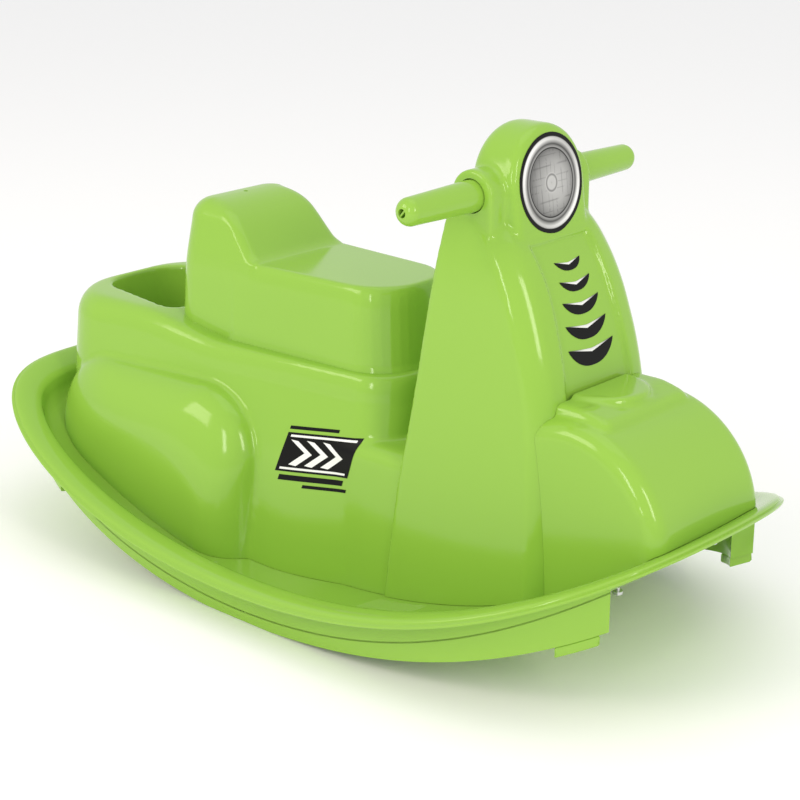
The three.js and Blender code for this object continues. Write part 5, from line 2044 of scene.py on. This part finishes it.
@dataclass(frozen=True)
class SoftBox:
    """A soft light.

    Attributes:
        name: its name.
        place: where it hangs, in metres.
        width: its width in metres.
        height: its height in metres.
        power: its power in watts.
        colour: its sRGB hex colour.
    """

    name: str
    place: Place
    width: float
    height: float
    power: float
    colour: str

    def build(self, target: Vector) -> None:
        """Hangs the light and aims it.

        Args:
            target: what it faces, in metres.
        """
        lamp = bpy.data.lights.new(self.name, "AREA")
        lamp.shape = "RECTANGLE"
        lamp.size, lamp.size_y = self.width, self.height
        lamp.energy = self.power
        lamp.color = linear(self.colour)[:3]
        light = linked(self.name, lamp)
        light.location = self.place
        light.rotation_euler = (Vector(self.place) - target).to_track_quat("Z", "Y").to_euler()


@dataclass
class Studio:
    """The floor, the lights and the camera, in metres and degrees."""

    azimuth: float = 42.09
    elevation: float = 18.90
    distance: float = 1.66021
    target: Place = (0.02026, 0.0, 0.15899)
    focal_pixels: float = 1887.75
    frame_pixels: float = 800.0
    sensor: float = 36.0
    floor_half: float = 30.0
    floor_drop: float = 0.0005
    sky_strength: float = 0.86
    lights: tuple[SoftBox, ...] = (
        SoftBox("key", (-0.9, -2.0, 1.6), 1.2, 0.9, 15.0, "#FFF4DE"),
        SoftBox("strip", (0.75, -2.3, 1.1), 0.3, 1.0, 8.0, "#FFF9EE"),
        SoftBox("front", (2.4, -0.7, 1.3), 0.45, 1.2, 14.0, "#FFF6E6"),
        SoftBox("top", (0.2, 0.3, 2.6), 1.8, 1.8, 6.0, "#FFFFFF"),
    )

    def floor(self) -> None:
        """Lays the studio paper."""
        work = bmesh.new()
        bmesh.ops.create_grid(work, x_segments=1, y_segments=1, size=self.floor_half)
        bmesh.ops.translate(work, verts=work.verts, vec=(0, 0, -self.floor_drop))
        paper = linked("studio_floor", mesh_of("studio_floor", work))
        paper.data.materials.append(STUDIO_PAPER.material())

    def sky(self) -> None:
        """Sets the even white light of the room."""
        world = bpy.data.worlds.new("studio")
        world.use_nodes = True
        background = world.node_tree.nodes["Background"]
        background.inputs["Color"].default_value = (1.0, 1.0, 1.0, 1.0)
        background.inputs["Strength"].default_value = self.sky_strength
        bpy.context.scene.world = world
        bpy.context.scene.view_settings.view_transform = "Standard"

    def camera(self) -> None:
        """Places the camera at the photograph's viewing angle."""
        data = bpy.data.cameras.new("camera")
        data.sensor_width = self.sensor
        data.lens = self.focal_pixels / self.frame_pixels * self.sensor
        camera = linked("camera", data)
        turn, tilt = math.radians(self.azimuth), math.radians(self.elevation)
        back = Vector((math.sin(turn) * math.cos(tilt), -math.cos(turn) * math.cos(tilt), math.sin(tilt)))
        camera.location = Vector(self.target) + back * self.distance
        camera.rotation_euler = back.to_track_quat("Z", "Y").to_euler()
        bpy.context.scene.camera = camera

    def build(self) -> None:
        """Builds the studio."""
        self.floor()
        for light in self.lights:
            light.build(Vector(self.target))
        self.sky()
        self.camera()


def main() -> None:
    """Builds the scene around the frame."""
    logging.basicConfig(level=logging.INFO, format="%(name)s: %(message)s")
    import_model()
    base = RockerBase()
    shield = LegShield(base)
    body = SeatBody(base)
    assemblies = {
        "base": base.build,
        "leg shield": shield.build,
        "seat body": lambda: body.build(shield),
        "seat": Seat(body).build,
        "mudguard": Mudguard(base, shield).build,
        "handles": Handles(shield).build,
        "stickers": Stickers(shield).build,
    }
    for name, build in assemblies.items():
        for piece in build():
            LOG.info("%s: %s, %d faces", name, piece.name, len(piece.data.polygons))
    Studio().build()


if __name__ == "__main__":
    main()
